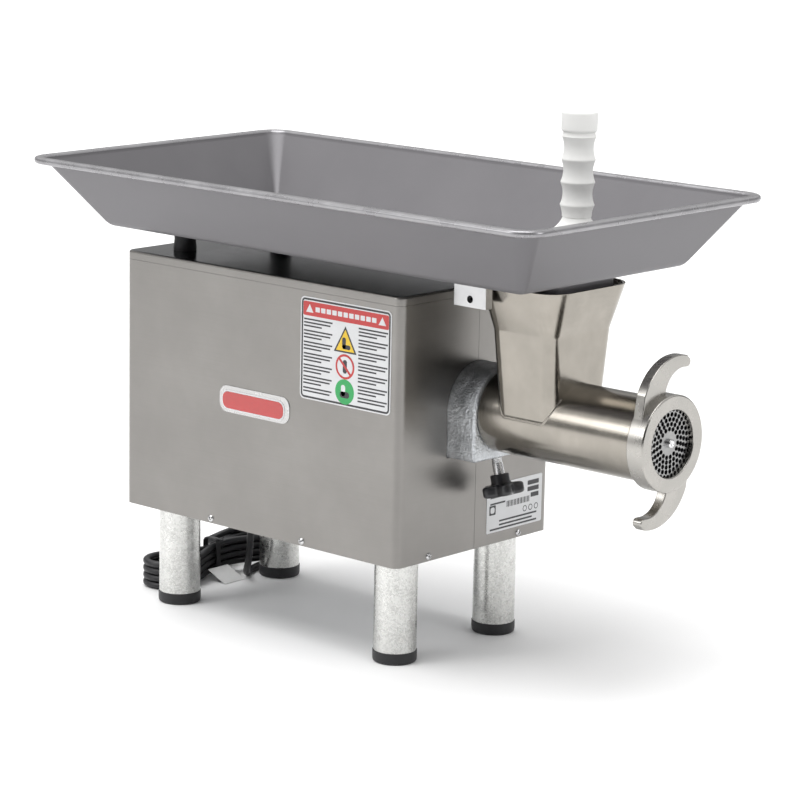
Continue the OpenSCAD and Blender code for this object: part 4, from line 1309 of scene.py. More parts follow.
@dataclass
class DriveHub:
    """The cast hub on the body's front, its clamp screw and the lobed knob."""

    width: float = 100.0
    back: float = -2.0
    reach: float = 39.0
    bottom: float = 232.5
    bore: float = 42.1
    edge: float = 3.0
    stud: Spot = (29.7, 0.0, 229.5)
    tilt: float = 15.3
    stud_r: float = 6.0
    shaft_hole: float = 16.4
    thread_pitch: float = 1.75
    thread_depth: float = 0.62
    lobes: int = 5
    lobe_middle: float = 20.9
    lobe_height: float = 3.6

    def outline(self, inset: float, steps: int = 24) -> list[Flat]:
        """The hub's arch from the front, drawn in by an inset, in the order of the bore's points.

        Args:
            inset: how far in it is drawn.
            steps: half the pieces in its arch.

        Returns:
            Its points.
        """
        half, low = self.width / 2 - inset, self.bottom - AXIS_Z + inset
        corner = max(0.5, 5.0 - inset)
        points = arc((0, 0), half, 0, 180, 2 * steps)
        points += [(-half, low * k / 6) for k in range(1, 5)]
        points += arc((-half + corner, low + corner), corner, 180, 270, 6)
        points += [(-half + corner + (2 * half - 2 * corner) * k / 12, low) for k in range(1, 12)]
        points += arc((half - corner, low + corner), corner, 270, 360, 6)
        points += [(half, low * k / 6) for k in range(4, 0, -1)]
        return points

    def casting(self) -> bpy.types.Object:
        """The hub with round edges and its bore, cut for the clamp screw.

        Returns:
            The hub.
        """
        place = along_x(0, AXIS_Z)
        turn = [math.atan2(v, u) for u, v in self.outline(self.edge)]
        rings = []
        for inset, x in [(0.6, self.back), (0.0, self.back + 0.6)] + [
                (self.edge * (1 - math.cos(a)), self.reach - self.edge * (1 - math.sin(a)))
                for a in (math.pi / 8 * k for k in range(5))]:
            rings.append([place @ Vector((u, v, x)) for u, v in self.outline(inset)])
        for radius, x in ((self.bore + 3.0, self.reach), (self.bore + 1.9, self.reach - 0.3),
                          (self.bore, self.reach - 1.8), (self.bore, 4.0), (self.shaft_hole, 4.0),
                          (self.shaft_hole, self.back)):
            rings.append([place @ Vector((radius * math.cos(a), radius * math.sin(a), x)) for a in turn])
        body = Shell().skin(rings, loop=True).object("hub_casting", [HUB_CASTING], 38)
        drill = Shell().lathe([(self.stud_r + 0.1, -30), (self.stud_r + 0.1, 30)], self.screw_line(),
                              steps=48)
        cut = carved(body, drill.object("drill", [HUB_CASTING]))
        return settle(cut, "housing", "hub_casting", "drive_hub")

    def screw_line(self) -> Matrix:
        """A transform whose third axis runs down the clamp screw and out of the hub."""
        a = math.radians(self.tilt)
        down = Vector((math.sin(a), 0, -math.cos(a)))
        return basis(self.stud, down.cross(Y) * -1, Y, down)

    def screw(self) -> bpy.types.Object:
        """The clamp screw with a cut thread.

        Returns:
            The screw.
        """
        place, pitch, steps = self.screw_line(), self.thread_pitch, 40
        rings = []
        levels = [-12.5 + 0.35 * k for k in range(int(40.5 / 0.35))] + [28.0]
        for s in levels:
            ring = []
            for k in range(steps):
                phase = (s / pitch - k / steps) % 1.0
                deep = self.thread_depth * abs(2 * phase - 1) if -11.8 < s < 5 else 0.0
                ring.append(place @ Vector(((self.stud_r - deep) * math.cos(2 * math.pi * k / steps),
                                            (self.stud_r - deep) * math.sin(2 * math.pi * k / steps), s)))
            rings.append(ring)
        thread = Shell().skin(rings).object("clamp_thread", [BRIGHT_ZINC], 60)
        return settle(thread, "clamp_screw", "bright_stud", "clamp_stud")

    def knob(self) -> bpy.types.Object:
        """The lobed knob: scalloped, with rounded edges and a dished end.

        Returns:
            The knob.
        """
        place, steps = self.screw_line(), 120
        turns = [2 * math.pi * k / steps for k in range(steps)]

        def lobed(grow: float, depth: float = 1.0) -> list[Flat]:
            """The scalloped outline, grown by some and with its lobes scaled."""
            reach = [(self.lobe_middle + grow + self.lobe_height * depth * math.cos(self.lobes * a), a)
                     for a in turns]
            return [(r * math.cos(a), r * math.sin(a)) for r, a in reach]

        def disc(radius: float) -> list[Flat]:
            """A round outline of as many points."""
            return [(radius * math.cos(a), radius * math.sin(a)) for a in turns]

        rows = [(disc(6.05), 18.6), (disc(9.6), 18.0), (disc(10.7), 19.0), (disc(10.75), 26.0),
                (disc(11.6), 28.4),
                (disc(14.0), 29.2), (lobed(-3.2, 0.7), 29.2), (lobed(-1.2, 0.92), 29.9), (lobed(-0.2), 31.4),
                (lobed(0.0), 33.2), (lobed(0.0), 38.0), (lobed(-0.3), 39.8), (lobed(-1.3, 0.92), 41.3),
                (lobed(-3.0, 0.75), 42.0), (disc(12.5), 42.0), (disc(11.0), 41.2), (disc(8.0), 40.8)]
        knob = Shell().skin([[place @ Vector((u, v, s)) for u, v in outline] for outline, s in rows])
        return settle(knob.object("lobed_knob", [BLACK_PHENOLIC], 50), "clamp_screw", "knob_plastic",
                      "clamp_knob")

    def build(self) -> None:
        """Makes the hub and its clamp."""
        self.casting()
        self.screw()
        self.knob()


# ---------------------------------------------------------------- grinding head


@dataclass
class GrindingHead:
    """The stainless head: a barrel, a neck that flares under the tray, and the weld between them."""

    barrel: float = 46.0
    bore: float = 38.0
    spigot: float = 42.0
    shoulder: float = 39.3
    mouth: float = 265.0
    seat: float = 41.2
    seat_x: float = 256.6
    neck_x: float = 103.0
    wall: float = 3.0
    sections: tuple[tuple[float, float, float, float], ...] = (
        (4.5, 40.0, 46.0, 16.0), (101.5, 43.8, 56.0, 17.0), (151.5, 59.0, 71.0, 30.0))

    def section(self, rise: float, inset: float = 0.0) -> list[Flat]:
        """The neck's outline at a height above the auger's axis.

        Args:
            rise: the height above the axis.
            inset: how far inside the outer face it is.

        Returns:
            Its points, from the neck's own middle.
        """
        found = self.sections[0][1:]
        for (low, *a), (high, *b) in zip(self.sections, self.sections[1:]):
            if rise >= low:
                t = min(1.0, (rise - low) / (high - low))
                found = [p + (q - p) * t for p, q in zip(a, b)]
        return round_box(2 * (found[0] - inset), 2 * (found[1] - inset), found[2] - inset * 0.6, steps=10)

    def levels(self, low: float) -> list[float]:
        """Heights for the neck's rings, closer together at its crease."""
        crease, top = self.sections[1][0], self.sections[2][0]
        return [low, low + 12, (low + crease) / 2, crease - 6, crease - 1.2, crease, crease + 1.2, crease + 6,
                (crease + top) / 2, top - 1.0]

    def throat(self, low: float, high: float, inset: float) -> list[list[Vector]]:
        """Rings of the neck from one height to another.

        Args:
            low: the lowest height.
            high: the highest.
            inset: how far in from the outside.

        Returns:
            The rings.
        """
        top = self.sections[2][0]
        heights = [h for h in self.levels(low) if h < high] + [high]
        return [[at(self.neck_x + u, v, AXIS_Z + h) for u, v in self.section(min(h, top), inset)]
                for h in heights]

    def neck(self) -> bpy.types.Object:
        """The neck's wall, with a round upper edge, cut to sit on the barrel.

        Returns:
            The neck.
        """
        top = self.sections[2][0]
        outer, inner = self.throat(8.0, top - 1.0, 0.0), self.throat(8.0, top - 1.0, self.wall)
        lip = [[at(self.neck_x + u, v, AXIS_Z + top - 1.0 + rise) for u, v in self.section(top, inset)]
               for inset, rise in ((0.35, 0.7), (1.0, 1.0), (self.wall - 1.0, 1.0), (self.wall - 0.35, 0.7))]
        wall = Shell().skin(outer + lip + inner[::-1], loop=True).object("neck", [HEAD_STEEL], 50)
        core = Shell().lathe([(self.barrel - 0.15, -60), (self.barrel - 0.15, 320)], along_x(0, AXIS_Z),
                             steps=160)
        return settle(carved(wall, core.object("core", [HEAD_STEEL])), "housing", "polished_head")

    def tube(self) -> bpy.types.Object:
        """The barrel with its spigot, its bore and the seat for the plate, open under the neck.

        Returns:
            The barrel.
        """
        profile = rounded([
            (self.spigot - 1.2, 4.3, 0), (self.spigot, 5.5, 0), (self.spigot, self.shoulder, 0),
            (self.barrel - 0.8, self.shoulder, 0), (self.barrel, self.shoulder + 0.8, 0),
            (self.barrel, self.mouth - 0.6, 0), (self.barrel - 0.6, self.mouth, 0),
            (self.seat + 0.5, self.mouth, 0), (self.seat, self.mouth - 0.5, 0), (self.seat, self.seat_x, 0),
            (self.bore, self.seat_x, 0), (self.bore, 12.0, 0), (20.0, 12.0, 0), (20.0, 4.3, 0)], True)
        barrel = Shell().lathe(profile, along_x(0, AXIS_Z), loop=True, steps=160).object("barrel",
                                                                                         [HEAD_STEEL], 38)
        top = self.sections[2][0]
        way = Shell().skin(self.throat(14.5, top, self.wall)).object("way", [HEAD_STEEL])
        return settle(carved(barrel, way), "housing", "polished_head", "grinder_head")

    def weld(self) -> bpy.types.Object:
        """The weld between neck and barrel, as ripples along their joint.

        Returns:
            The weld.
        """
        line, outward = [], []
        count = len(self.section(40.0))
        for k in range(count):
            rise = 40.0
            for _ in range(12):
                u, v = self.section(rise)[k]
                rise = math.sqrt(max(0.0, self.barrel ** 2 - min(abs(v), self.barrel) ** 2))
                rise = max(rise, 5.0)
            line.append(at(self.neck_x + u, v, AXIS_Z + rise))
            outward.append((Vector((u, v, 0)).normalized() + Vector((0, v, rise)).normalized()).normalized())
        ripples = weld_tree().grow("neck_weld", seeds("neck_weld", line, True, outward=outward), HEAD_STEEL,
                                   60, Ripple_pitch=1.5, Bead_width=3.4, Bead_height=0.9)
        return settle(ripples, "housing", "polished_head")

    def build(self) -> None:
        """Makes and dresses the head and what turns in it."""
        self.tube()
        self.neck()
        self.weld()
        dress(BUSH_BRONZE, "auger_bushing")
        dress(WORM_STEEL, "auger", "auger_shank")
        dress(WORM_STEEL, "knife")


@dataclass
class RingNut:
    """The ring nut with its two hooks, and the perforated plate that it holds."""

    radius: float = 52.7
    back: float = 249.0
    front: float = 271.0
    opening: float = 36.5
    seat: float = 46.3
    seat_end: float = 266.0
    hook_back: float = 250.0
    hook_front: float = 262.0
    tip: Flat = (33.2, 82.6)
    tip_r: float = 5.2
    rows: tuple[tuple[float, int], ...] = ((15.4, 15), (20.6, 20), (25.8, 25), (31.0, 30), (36.2, 36))
    pin_r: float = 4.75

    def hook(self) -> list[Flat]:
        """One hook's outline from the front."""
        tip_x, tip_y = self.tip
        return ([(-44.0, 24.0)] + arc((17.5, 30.5), 61.5, 157, 76, 26)
                + arc((tip_x, tip_y), self.tip_r, 70, -96, 10)
                + arc((26.0, 47.5), 30.2, 84, 192, 22) + [(-2.0, 30.0)])

    def nut(self) -> bpy.types.Object:
        """The ring with turned shoulders, grooves and its thread inside.

        Returns:
            The ring.
        """
        thread = []
        x = self.back + 3.0
        while x < self.seat_end - 2.0:
            thread += [(self.seat + 0.1, x), (self.seat + 1.1, x + 1.5)]
            x += 3.0
        profile = rounded([
            (self.seat + 1.0, self.back, 0.4), (self.radius - 1.0, self.back, 0.4),
            (self.radius, self.back + 1.0, 0.4),
            (self.radius, self.front - 1.3, 0.6), (self.radius - 1.3, self.front, 0.6),
            (self.opening + 0.8, self.front, 0.4), (self.opening, self.front - 0.9, 0.4),
            (self.opening, self.seat_end, 0.0), (self.seat, self.seat_end, 0.0)], True)
        profile += thread[::-1] + [(self.seat, self.back + 1.0)]
        ring = Shell().lathe(profile, along_x(0, AXIS_Z), loop=True, steps=192)
        return settle(ring.object("ring_nut_ring", [RING_STEEL], 38), "ring", "ring_satin", "ring_nut")

    def hooks(self) -> bpy.types.Object:
        """Both hooks, with flat faces and rounded edges, cut to the ring.

        Returns:
            The hooks.
        """
        plates = Shell()
        for turn in (0.0, math.pi):
            place = along_x(0, AXIS_Z) @ Matrix.Rotation(turn, 4, "Z")
            plates.prism(self.hook(), place, self.hook_back, self.hook_front)
        both = plates.object("ring_nut_hooks", [RING_STEEL], 40, 1.1, 3)
        core = Shell().lathe([(self.seat + 3.2, 200), (self.seat + 3.2, 300)], along_x(0, AXIS_Z), steps=96)
        return settle(carved(both, core.object("core", [RING_STEEL])), "ring", "ring_satin")

    def plate(self) -> None:
        """The plate's finish, and a black ring of painted shade round every hole on its front."""
        dress(PLATE_STEEL, "grinding_plate")
        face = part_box("grinding_plate")[1].x
        places = []
        for index, (radius, count) in enumerate(self.rows):
            for k in range(count):
                a = 2 * math.pi * (k + (index % 2) / 2) / count
                if radius < 35:
                    places.append(Vector((face, -radius * math.sin(a) * MM,
                                          (AXIS_Z + radius * math.cos(a)) * MM)))
        # Black rings at the holes' edges are painted shade that darkens the edge of each hole.
        hole_shade_rings = ring_tree().grow("plate_hole_rims", seeds(
            "plate_hole_rims", places, facing=[X] * len(places), girth=[1.0] * len(places)), BLACK_OXIDE,
            Ring_radius=2.42, Bead_radius=0.2)
        settle(hole_shade_rings, "housing", "plate_steel")

    def pin(self) -> bpy.types.Object:
        """The auger's centre pin: a square that drives the knife, and a round end that shows.

        Returns:
            The pin.
        """
        low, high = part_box("auger_pin")
        back, tip = (low.x - FRONT) / MM, (high.x - FRONT) / MM
        half, r = (high.z - low.z) / 2 / MM, self.pin_r
        place = along_x(0, AXIS_Z)
        steel = Shell().prism([(-half, -half), (half, -half), (half, half), (-half, half)], place, back,
                              back + 5.8)
        steel.lathe(rounded([(1, back + 5.4, 0), (r, back + 5.4, 0), (r, tip - 0.9, 0.4), (r - 0.9, tip, 0.4),
                             (2.2, tip, 0.2), (1.2, tip - 0.8, 0.0), (0.6, tip - 1.0, 0)]), place, steps=48)
        return settle(steel.object("centre_pin", [BRIGHT_ZINC], 35), "auger_drive", "plate_steel",
                      "auger_pin")

    def build(self) -> None:
        """Makes the ring nut and dresses the plate."""
        self.nut()
        self.hooks()
        self.plate()
        self.pin()


# ---------------------------------------------------------------- tray and pusher


@dataclass
class Tray:
    """The deep tray: a rolled rim, sloping walls, a flat floor and a spout into the neck."""

    floor: Spot = (625.0, 281.0, 8.0)
    floor_x: float = -137.5
    rim: Spot = (757.0, 416.0, 30.0)
    rim_x: float = -140.5
    rim_w: float = 12.0
    rim_h: float = 8.0
    bottom: float = 447.8
    rim_z: float = 519.8
    metal: float = 2.5
    spout: Spot = (92.0, 104.0, 12.0)
    spout_x: float = 103.0
    spout_drop: float = 24.0
    post_x: float = -383.0
    post_y: float = 80.0

    def box_ring(self, size: Spot, x: float, z: float, grow: float = 0.0) -> list[Vector]:
        """A ring of the tray: a round-cornered box at a height."""
        return [at(x + u, v, z) for u, v in round_box(size[0] + 2 * grow, size[1] + 2 * grow, size[2] + grow,
                                                      steps=10)]

    def wall(self, t: float, inside: bool) -> tuple[Spot, float, float]:
        """The wall's ring part of the way from the floor to the rim.

        Args:
            t: 0 at the floor and 1 under the rim.
            inside: whether it is the inner face.

        Returns:
            The ring's size, its middle along X and its height.
        """
        top = (self.rim[0] - 2 * self.rim_w, self.rim[1] - 2 * self.rim_w, 18.0)
        slip = -2 * self.metal if inside else 0.0
        grown = 0.0 if inside else 2 * self.metal
        size = tuple(a + slip + (b + grown - a - slip) * t for a, b in zip(self.floor, top))
        base = self.bottom + (self.metal if inside else 0.0)
        return ((size[0], size[1], max(3.0, size[2])), self.floor_x + (self.rim_x - self.floor_x) * t,
                base + (self.rim_z + self.rim_h - 2.0 - base) * t)

    def rounded_foot(self, inside: bool) -> list[list[Vector]]:
        """Rings that bend from the floor into the wall.

        Args:
            inside: whether they are on the inner face.

        Returns:
            The rings.
        """
        size0, x0, z0 = self.wall(0.0, inside)
        size1, x1, z1 = self.wall(0.09, inside)
        flat = (size0[0] - 12, size0[1] - 12, max(1.0, size0[2] - 4))
        rings = [self.box_ring((flat[0] - 4, flat[1] - 4, flat[2]), x0, z0)]
        for k in range(6):
            t = k / 5
            w = ((1 - t) ** 2, 2 * t * (1 - t), t ** 2)
            size = tuple(w[0] * a + w[1] * b + w[2] * c for a, b, c in zip(flat, size0, size1))
            rings.append(self.box_ring(size, w[0] * x0 + w[1] * x0 + w[2] * x1,
                                       (w[0] + w[1]) * z0 + w[2] * z1))
        size2, x2, z2 = self.wall(0.5, inside)
        return rings + [self.box_ring(size2, x2, z2)]

    def bead(self) -> list[list[Vector]]:
        """Rings round the rolled rim, from its inner face over its top to under it.

        Returns:
            The rings.
        """
        half, tall = self.rim_w / 2, self.rim_h / 2
        rings = []
        for k in range(15):
            a = math.radians(168 - 24 * k)
            if math.degrees(a) < -150:
                break
            square = 0.72
            c, s = math.cos(a), math.sin(a)
            u = half * math.copysign(abs(c) ** square, c)
            v = tall * math.copysign(abs(s) ** square, s)
            size = (self.rim[0] - self.rim_w, self.rim[1] - self.rim_w, self.rim[2] - half)
            rings.append(self.box_ring(size, self.rim_x, self.rim_z + tall + v, u))
        return rings

    def pan(self) -> bpy.types.Object:
        """The whole tray as one closed skin.

        Returns:
            The tray.
        """
        inner_floor = self.bottom + self.metal
        hole = (self.spout[0] - 2, self.spout[1] - 2, self.spout[2] - 1)
        pipe = (self.spout[0] + 2, self.spout[1] + 2, self.spout[2] + 1)
        foot_in, foot_out = self.rounded_foot(True), self.rounded_foot(False)
        low = self.bottom - self.spout_drop
        rings = self.bead()
        rings += [self.box_ring(*self.wall(0.95, True))] + foot_in[::-1]
        rings += [self.box_ring(hole, self.spout_x, inner_floor, g) for g in (5.0, 3.0)]
        rings += [self.box_ring(hole, self.spout_x, inner_floor - d, g)
                  for d, g in ((0.25, 1.6), (0.9, 0.6), (2.0, 0.0),
                               (self.spout_drop + self.metal - 0.6, 0.0))]
        rings += [self.box_ring(hole, self.spout_x, low, 0.5), self.box_ring(pipe, self.spout_x, low, -0.5)]
        rings += [self.box_ring(pipe, self.spout_x, self.bottom - d, g)
                  for d, g in ((self.spout_drop - 0.6, 0.0), (2.5, 0.0), (0.8, 0.6), (0.0, 2.4))]
        rings += foot_out + [self.box_ring(*self.wall(0.94, False))]
        pan = Shell().skin(rings, loop=True)
        # The rolled rim's faces take the rim finish, whose lighter colour is a painted highlight.
        rim = len(self.bead()) * len(rings[0])
        pan.tints[:rim - len(rings[0])] = [1] * (rim - len(rings[0]))
        return settle(pan.object("tray_pan", [TRAY_GREY, TRAY_RIM_PAINTED_HIGHLIGHT], 40), "tray_set", "tray_grey", "tray")

    def posts(self) -> bpy.types.Object:
        """The two rubber posts under the tray's back.

        Returns:
            The posts.
        """
        low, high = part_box("tray_posts")
        rubber = Shell()
        bottom, top = low.z / MM, high.z / MM
        reach = high.y / MM - self.post_y
        for y in (-self.post_y, self.post_y):
            rubber.lathe(rounded([(1, bottom, 0), (reach - 0.2, bottom, 0), (reach, bottom + 3, 1.5),
                                  (reach - 1.2, (bottom + top) / 2, 4), (reach, top - 3, 1.5),
                                  (reach - 1.5, top, 1.0), (1, top, 0)]), upright(self.post_x, y), steps=64)
        return settle(rubber.object("rubber_posts", [BLACK_RUBBER], 40), "housing", "post_rubber",
                      "tray_posts")

    def bracket(self) -> bpy.types.Object:
        """The milled block under the tray, with its edges broken and its cross hole.

        Returns:
            The block.
        """
        low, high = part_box("tray_bracket")
        place = basis(((low.x - FRONT) / MM, low.y / MM, low.z / MM), X, Z, -Y)
        long, tall, deep = ((high.x - low.x) / MM, (high.z - low.z) / MM, (high.y - low.y) / MM)
        block = Shell().prism([(0, 0), (long, 0), (long, tall), (0, tall)], place, -deep, 0)
        solid = block.object("tray_block", [SHAFT_STEEL], 40, 0.5, 2)
        drill = Shell().lathe([(4.6, -deep - 2), (4.0, -deep + 0.6), (4.0, -0.6), (4.6, 2)],
                              place @ Matrix.Translation((23, tall - 26, 0)), steps=48)
        cut = carved(solid, drill.object("drill", [SHAFT_STEEL]))
        return settle(cut, "tray_set", "block_steel", "tray_bracket")

    def build(self) -> None:
        """Makes and dresses the tray."""
        self.pan()
        self.posts()
        self.bracket()
        dress(BLACK_OXIDE, "tray_screw")


@dataclass
class Pusher:
    """The white pusher: plunger, splash guard and a ridged grip."""

    x: float = 115.0
    y: float = 21.5
    bottom: float = 324.1
    plunger: float = 21.0
    guard: float = 40.0
    guard_z: float = 484.0
    grip_z: float = 508.0
    pitch: float = 24.7
    ridge: float = 18.8
    waist: float = 16.0
    cap: float = 19.5
    top: float = 622.0

    def build(self) -> bpy.types.Object:
        """Turns the pusher in one piece.

        Returns:
            The pusher.
        """
        profile = rounded([(1, self.bottom, 0), (self.plunger - 6.0, self.bottom, 1.5),
                           (self.plunger, self.bottom + 14, 6.0),
                           (self.plunger, self.guard_z, 3.0), (self.guard - 1.0, self.guard_z, 1.0),
                           (self.guard, self.guard_z + 2.5, 1.2),
                           (self.guard - 0.4, self.guard_z + 5, 1.5)])[:-1]
        middle = (self.guard + 2, self.grip_z + 9)
        profile += arc(middle, 28.5, 258, 193, 10)[:-1]
        grip_top = self.grip_z + 4 * self.pitch - 8
        steps = 84
        for k in range(steps + 1):
            h = (grip_top - self.grip_z) * k / steps
            swell = 1 - abs(math.sin(math.pi * (h + self.pitch / 2) / self.pitch)) ** 0.85
            profile.append((self.waist + (self.ridge - self.waist) * swell, self.grip_z + h))
        profile += rounded([profile[-1] + (0,), (self.cap, grip_top + 2, 1.5), (self.cap, self.top, 3.0),
                            (1, self.top, 0)])[1:]
        white = Shell().lathe(profile, upright(self.x, self.y), steps=112)
        return settle(white.object("pusher_turned", [WHITE_NYLON], 45), "pusher", "white_nylon", "pusher")


# ---------------------------------------------------------------- switch, badge and labels


@dataclass
class Controls:
    """The start and stop buttons in their plate on the far side."""

    x: float = -215.0
    gap: float = 34.0
    side: float = 130.0

    def button(self, name: str, node: str, finish: Finish, slot: str) -> bpy.types.Object:
        """One button with a dished end.

        Args:
            name: the new piece's name.
            node: the button that it stands for, and its body.
            finish: its finish.
            slot: the record's material slot.

        Returns:
            The button.
        """
        low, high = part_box(node)
        mid = (low + high) / 2
        r, length = (high.z - low.z) / 2 / MM, (high.y - low.y) / MM
        place = basis(((mid.x - FRONT) / MM, low.y / MM, mid.z / MM), X, -Z, Y)
        profile = rounded([(1, 0, 0), (r - 0.3, 0, 0), (r, 0.4, 0), (r, length - 1.0, 0.7),
                           (r - 1.1, length, 0.7),
                           (r - 2.4, length - 0.1, 0.4), (r * 0.5, length - 1.1, 2.0),
                           (0.8, length - 1.3, 0)])
        return settle(Shell().lathe(profile, place, steps=64).object(name, [finish], 50), node, slot, node)

    def build(self) -> None:
        """Makes the buttons and dresses the plate."""
        dress(BODY_STEEL, "switch_plate")
        dress(BLACK_PHENOLIC, "switch_block")
        self.button("start_cap", "start_button", GREEN_BUTTON, "button_green")
        self.button("stop_cap", "stop_button", RED_BUTTON, "button_red")
        low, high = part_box("switch_plate")
        edge = [((low.x - FRONT) / MM + 7, 7), ((high.x - FRONT) / MM - 7, 7)]
        points = [at(x, high.y / MM, z) for x, _ in edge for z in (low.z / MM + 7, high.z / MM - 7)]
        heads = screw_tree().grow("switch_screws", seeds("switch_screws", points, facing=[Y] * 4),
                                  BRIGHT_ZINC, 45,
                                  Head_diameter=6.0, Head_height=1.8, Recess_width=0.9)
        settle(heads, "housing", "screw_zinc")
        collars = ring_tree().grow("button_collars", seeds(
            "button_collars", [at(self.x, high.y / MM, (low.z + high.z) / 2 / MM + s * self.gap / 2)
                               for s in (-1, 1)],
            facing=[Y] * 2, girth=[1.0] * 2), BLACK_RUBBER, Ring_radius=12.6, Bead_radius=1.1)
        settle(collars, "housing", "switch_black")


INK_FOOT, INK_TOP, INK_LAYER = -0.2, 0.06, 0.05


def press(shapes: Shell, place: Matrix) -> Callable[[Sequence[Flat], int, int], Shell]:
    """A press that lays flat patches of ink on a label.

    Args:
        shapes: the shell that takes the patches.
        place: the label's transform.

    Returns:
        A function of a patch's outline, its layer and its ink.
    """
    return lambda outline, level, ink: shapes.prism(outline, place, INK_FOOT, INK_TOP + INK_LAYER * level,
                                                    ink)


@dataclass
class Labels:
    """The badge and the labels, with plain shapes in place of any lettering."""

    lines: Tree = field(default_factory=line_tree)

    def card(self, name: str, node: str, u: Vector, w: Vector) -> tuple[Matrix, float, float, Vector]:
        """Where a CAD plate's face lies.

        Args:
            name: unused in the shape; it names the plate in the log.
            node: the CAD node.
            u: the direction of reading.
            w: the outward direction.

        Returns:
            A transform to its face's middle, its width, its height, and the outward direction.
        """
        low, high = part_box(node)
        mid = (low + high) / 2
        out = max(high.dot(w), low.dot(w))
        face = mid + w * (out - mid.dot(w))
        wide = abs((high - low).dot(u)) / MM
        LOG.info("laid out %s", name)
        return (basis(((face.x - FRONT) / MM, face.y / MM, face.z / MM), u, Z, w), wide,
                (high.z - low.z) / MM, w)

    def small_print(self, name: str, place: Matrix, rows: Sequence[tuple[float, float, float]], out: Vector,
                    finish: Finish, height: float, slot: str) -> None:
        """Plain bars where small print would be.

        Args:
            name: the new piece's name.
            place: the label's transform.
            rows: each bar as (left end, middle height, length).
            out: the outward direction.
            finish: the ink.
            height: the bars' height.
            slot: the record's material slot.
        """
        points = [place @ Vector((left + long / 2, v, 0.0)) for left, v, long in rows]
        grown = self.lines.grow(name, seeds(name, points, facing=[out] * len(rows),
                                            reach=[long * MM for _, _, long in rows]), finish,
                                Line_height=height, Line_thickness=0.12)
        settle(grown, "housing", slot)

    def side(self) -> None:
        """The side label: a red heading, three round-cornered signs and two columns of bars."""
        place, wide, tall, out = self.card("side label", "side_label", X, -Y)
        dress(WHITE_VINYL, "side_label")
        shapes, inks = Shell(), [PRINT_BLACK, PRINT_RED, PRINT_YELLOW, PRINT_GREEN, WHITE_VINYL]
        patch = press(shapes, place)

        w, h = wide - 3.0, tall - 3.0
        shapes.skin([[place @ Vector((a, b, c)) for a, b in round_box(w + g, h + g, 5 + g / 2)]
                     for g, c in ((0, -0.2), (0, 0.08), (-4.4, 0.08), (-4.4, -0.2))], 0, True)
        patch(round_box(w - 5, 16, 2.0, (0, h / 2 - 11.5)), 0, 1)
        for k in range(11):
            patch(round_box(6.5, 5.4, 0.6, (-42 + 8.4 * k, h / 2 - 11.5)), 1, 4)
        for s in (-1, 1):
            patch([(s * 54 - 5.5, h / 2 - 15.6), (s * 54 + 5.5, h / 2 - 15.6), (s * 54, h / 2 - 6.6)], 1, 4)
        rise = (15.5, -13.0, -41.0)
        tri = [(0, 17.5), (-17.0, -12.0), (17.0, -12.0)]
        patch([(a, b + rise[0] - 1) for a, b in tri], 1, 0)
        patch([(a * 0.80, b * 0.81 + rise[0] - 1.4) for a, b in tri], 2, 2)
        patch(round_box(5.4, 13.0, 2.4, (-1.8, rise[0] - 2.5)), 3, 0)
        patch(round_box(12.0, 5.0, 2.4, (1.8, rise[0] - 6.6)), 3, 0)
        patch(arc((0, rise[1]), 14.0, 0, 352, 44), 1, 1)
        patch(arc((0, rise[1]), 11.4, 0, 352, 44), 2, 4)
        patch(round_box(6.0, 15.0, 2.6, (0, rise[1])), 3, 0)
        patch([(a, b + rise[1]) for a, b in ((-9.4, 7.4), (-7.4, 9.4), (9.4, -7.4), (7.4, -9.4))], 4, 1)
        patch(arc((0, rise[2]), 14.0, 0, 352, 44), 1, 3)
        patch(round_box(14.0, 7.0, 3.2, (0, rise[2] - 3.4)), 2, 0)
        patch(round_box(6.2, 12.5, 2.8, (-2.2, rise[2] + 1.2)), 2, 4)
        settle(shapes.object("side_label_print", inks, 30), "housing", "label_white")
        rows = []
        for column in (-62.5, 19.5):
            for k in range(22):
                gap = 3.75 * k + 1.6 * (k // 3)
                if gap < 84:
                    rows.append((column, h / 2 - 23.5 - gap, (43.0, 40.0, 27.0)[k % 3]))
        self.small_print("side_label_lines", place, rows, out, PRINT_BLACK, 1.75, "label_white")

    def front(self) -> None:
        """The rating label: bars, boxes and a row of plain marks."""
        place, wide, tall, out = self.card("front label", "front_label", Y, X)
        dress(WHITE_VINYL, "front_label")
        shapes = Shell()
        patch = press(shapes, place)

        for k, long in enumerate((20, 20, 14)):
            patch(round_box(long, 5.2, 0.5, (wide / 2 - 6 - long / 2, tall / 2 - 8 - 7.4 * k)), 0, 0)
        patch(round_box(11, 11, 1.0, (-wide / 2 + 10, -2.0)), 0, 0)
        patch(round_box(7, 7, 2.4, (-wide / 2 + 10, -2.0)), 1, 1)
        for k in range(3):
            patch(arc((wide / 2 - 30 + 10 * k, -9.0), 3.6, 0, 345, 24), 0, 0)
            patch(arc((wide / 2 - 30 + 10 * k, -9.0), 2.6, 0, 345, 24), 1, 1)
        for k in range(22):
            patch(round_box(0.5 + 0.5 * (k * 7 % 3), 7.0, 0.1, (-14 + 1.9 * k, 1.5)), 0, 0)
        settle(shapes.object("front_label_print", [PRINT_BLACK, WHITE_VINYL], 30), "housing", "label_white")
        rows = [(-wide / 2 + 6, tall / 2 - 8 - 7.4 * k, 26 - 4 * (k % 2)) for k in range(3)]
        rows += [(-wide / 2 + 22, -16.0, 66), (-wide / 2 + 22, -20.5, 58), (-wide / 2 + 6, -24.6, 82)]
        self.small_print("front_label_lines", place, rows, out, PRINT_BLACK, 2.0, "label_white")

    def badge(self) -> bpy.types.Object:
        """The badge: a pale plate that carries a red, white-edged pill with nothing written on it.

        Returns:
            The badge.
        """
        low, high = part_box("badge")
        mid = (low + high) / 2
        place = basis(((mid.x - FRONT) / MM, -130.0, mid.z / MM), X, Z, -Y)
        shapes = Shell()

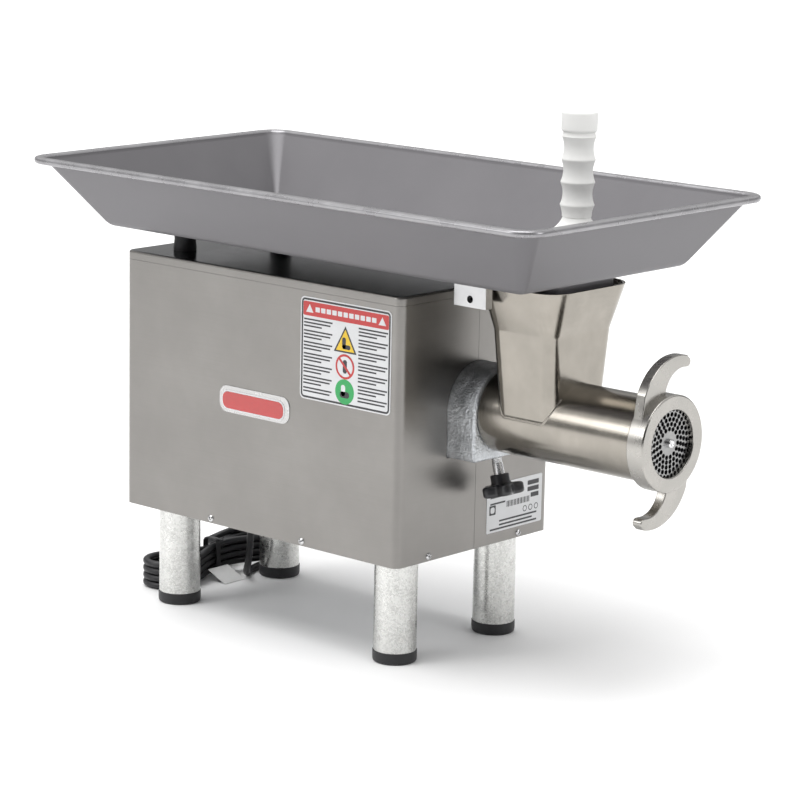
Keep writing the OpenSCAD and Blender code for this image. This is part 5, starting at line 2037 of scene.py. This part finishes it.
        def pad(size: Spot, middle: Flat, base: float, height: float, edge: float, tint: int) -> None:
            """Lays a round-cornered pad with a soft upper edge."""
            rows = [(0.0, base), (0.0, height - edge), (edge * 0.3, height - edge * 0.3), (edge, height)]
            shapes.skin([[place @ Vector((u, v, w)) for u, v in round_box(
                size[0] - 2 * inset, size[1] - 2 * inset, size[2] - inset, middle, 12)]
                for inset, w in rows], tint)

        pad((110, 31, 12), (0, 0), 0.0, 0.9, 0.35, 0)
        pad((99, 23, 10), (-1.5, -1.0), 0.5, 1.5, 0.35, 1)
        pad((95.5, 19.5, 8.4), (-1.5, -1.0), 1.0, 1.9, 0.4, 2)
        return settle(shapes.object("badge_plate", [CLEAR_PLATE, WHITE_VINYL, RED_ENAMEL], 40), "housing",
                      "badge_red", "badge")

    def build(self) -> None:
        """Makes the badge and both labels."""
        self.badge()
        self.side()
        self.front()


class Drive:
    """The motor, the gearbox and the train inside the body."""

    def build(self) -> None:
        """Dresses what the covers hide."""
        dress(MOTOR_ENAMEL, "motor_shell", "motor_front_bell", "motor_rear_bell", "fan_cover")
        dress(PAN_STEEL, "motor_cradle")
        dress(CORE_STEEL, "stator_core", "rotor_core")
        dress(COPPER_WIRE, "windings")
        dress(BLACK_PHENOLIC, "capacitor", "cooling_fan")
        dress(GEARBOX_IRON, "gearbox_foot", "gearbox_housing", "gearbox_cover", "bearing_plate")
        dress(BRIGHT_ZINC, "bearings")
        dress(BLACK_RUBBER, "oil_seals")
        dress(SHAFT_STEEL, "motor_shaft", "output_shaft")
        dress(OILED_STEEL, "countershaft", "counter_gear", "main_gear")


def main() -> None:
    """Builds the grinder from the camera and the cord up."""
    logging.basicConfig(level=logging.INFO, format="%(name)s: %(message)s")
    studio = Studio()
    studio.camera()
    builders: list[Callable[[], object]] = [
        MainsCord().build, studio.light, BodyShell().build, LegSet().build, DriveHub().build,
        GrindingHead().build,
        RingNut().build, Tray().build, Pusher().build, Controls().build, Labels().build, Drive().build]
    for build in builders:
        build()


if __name__ == "__main__":
    main()
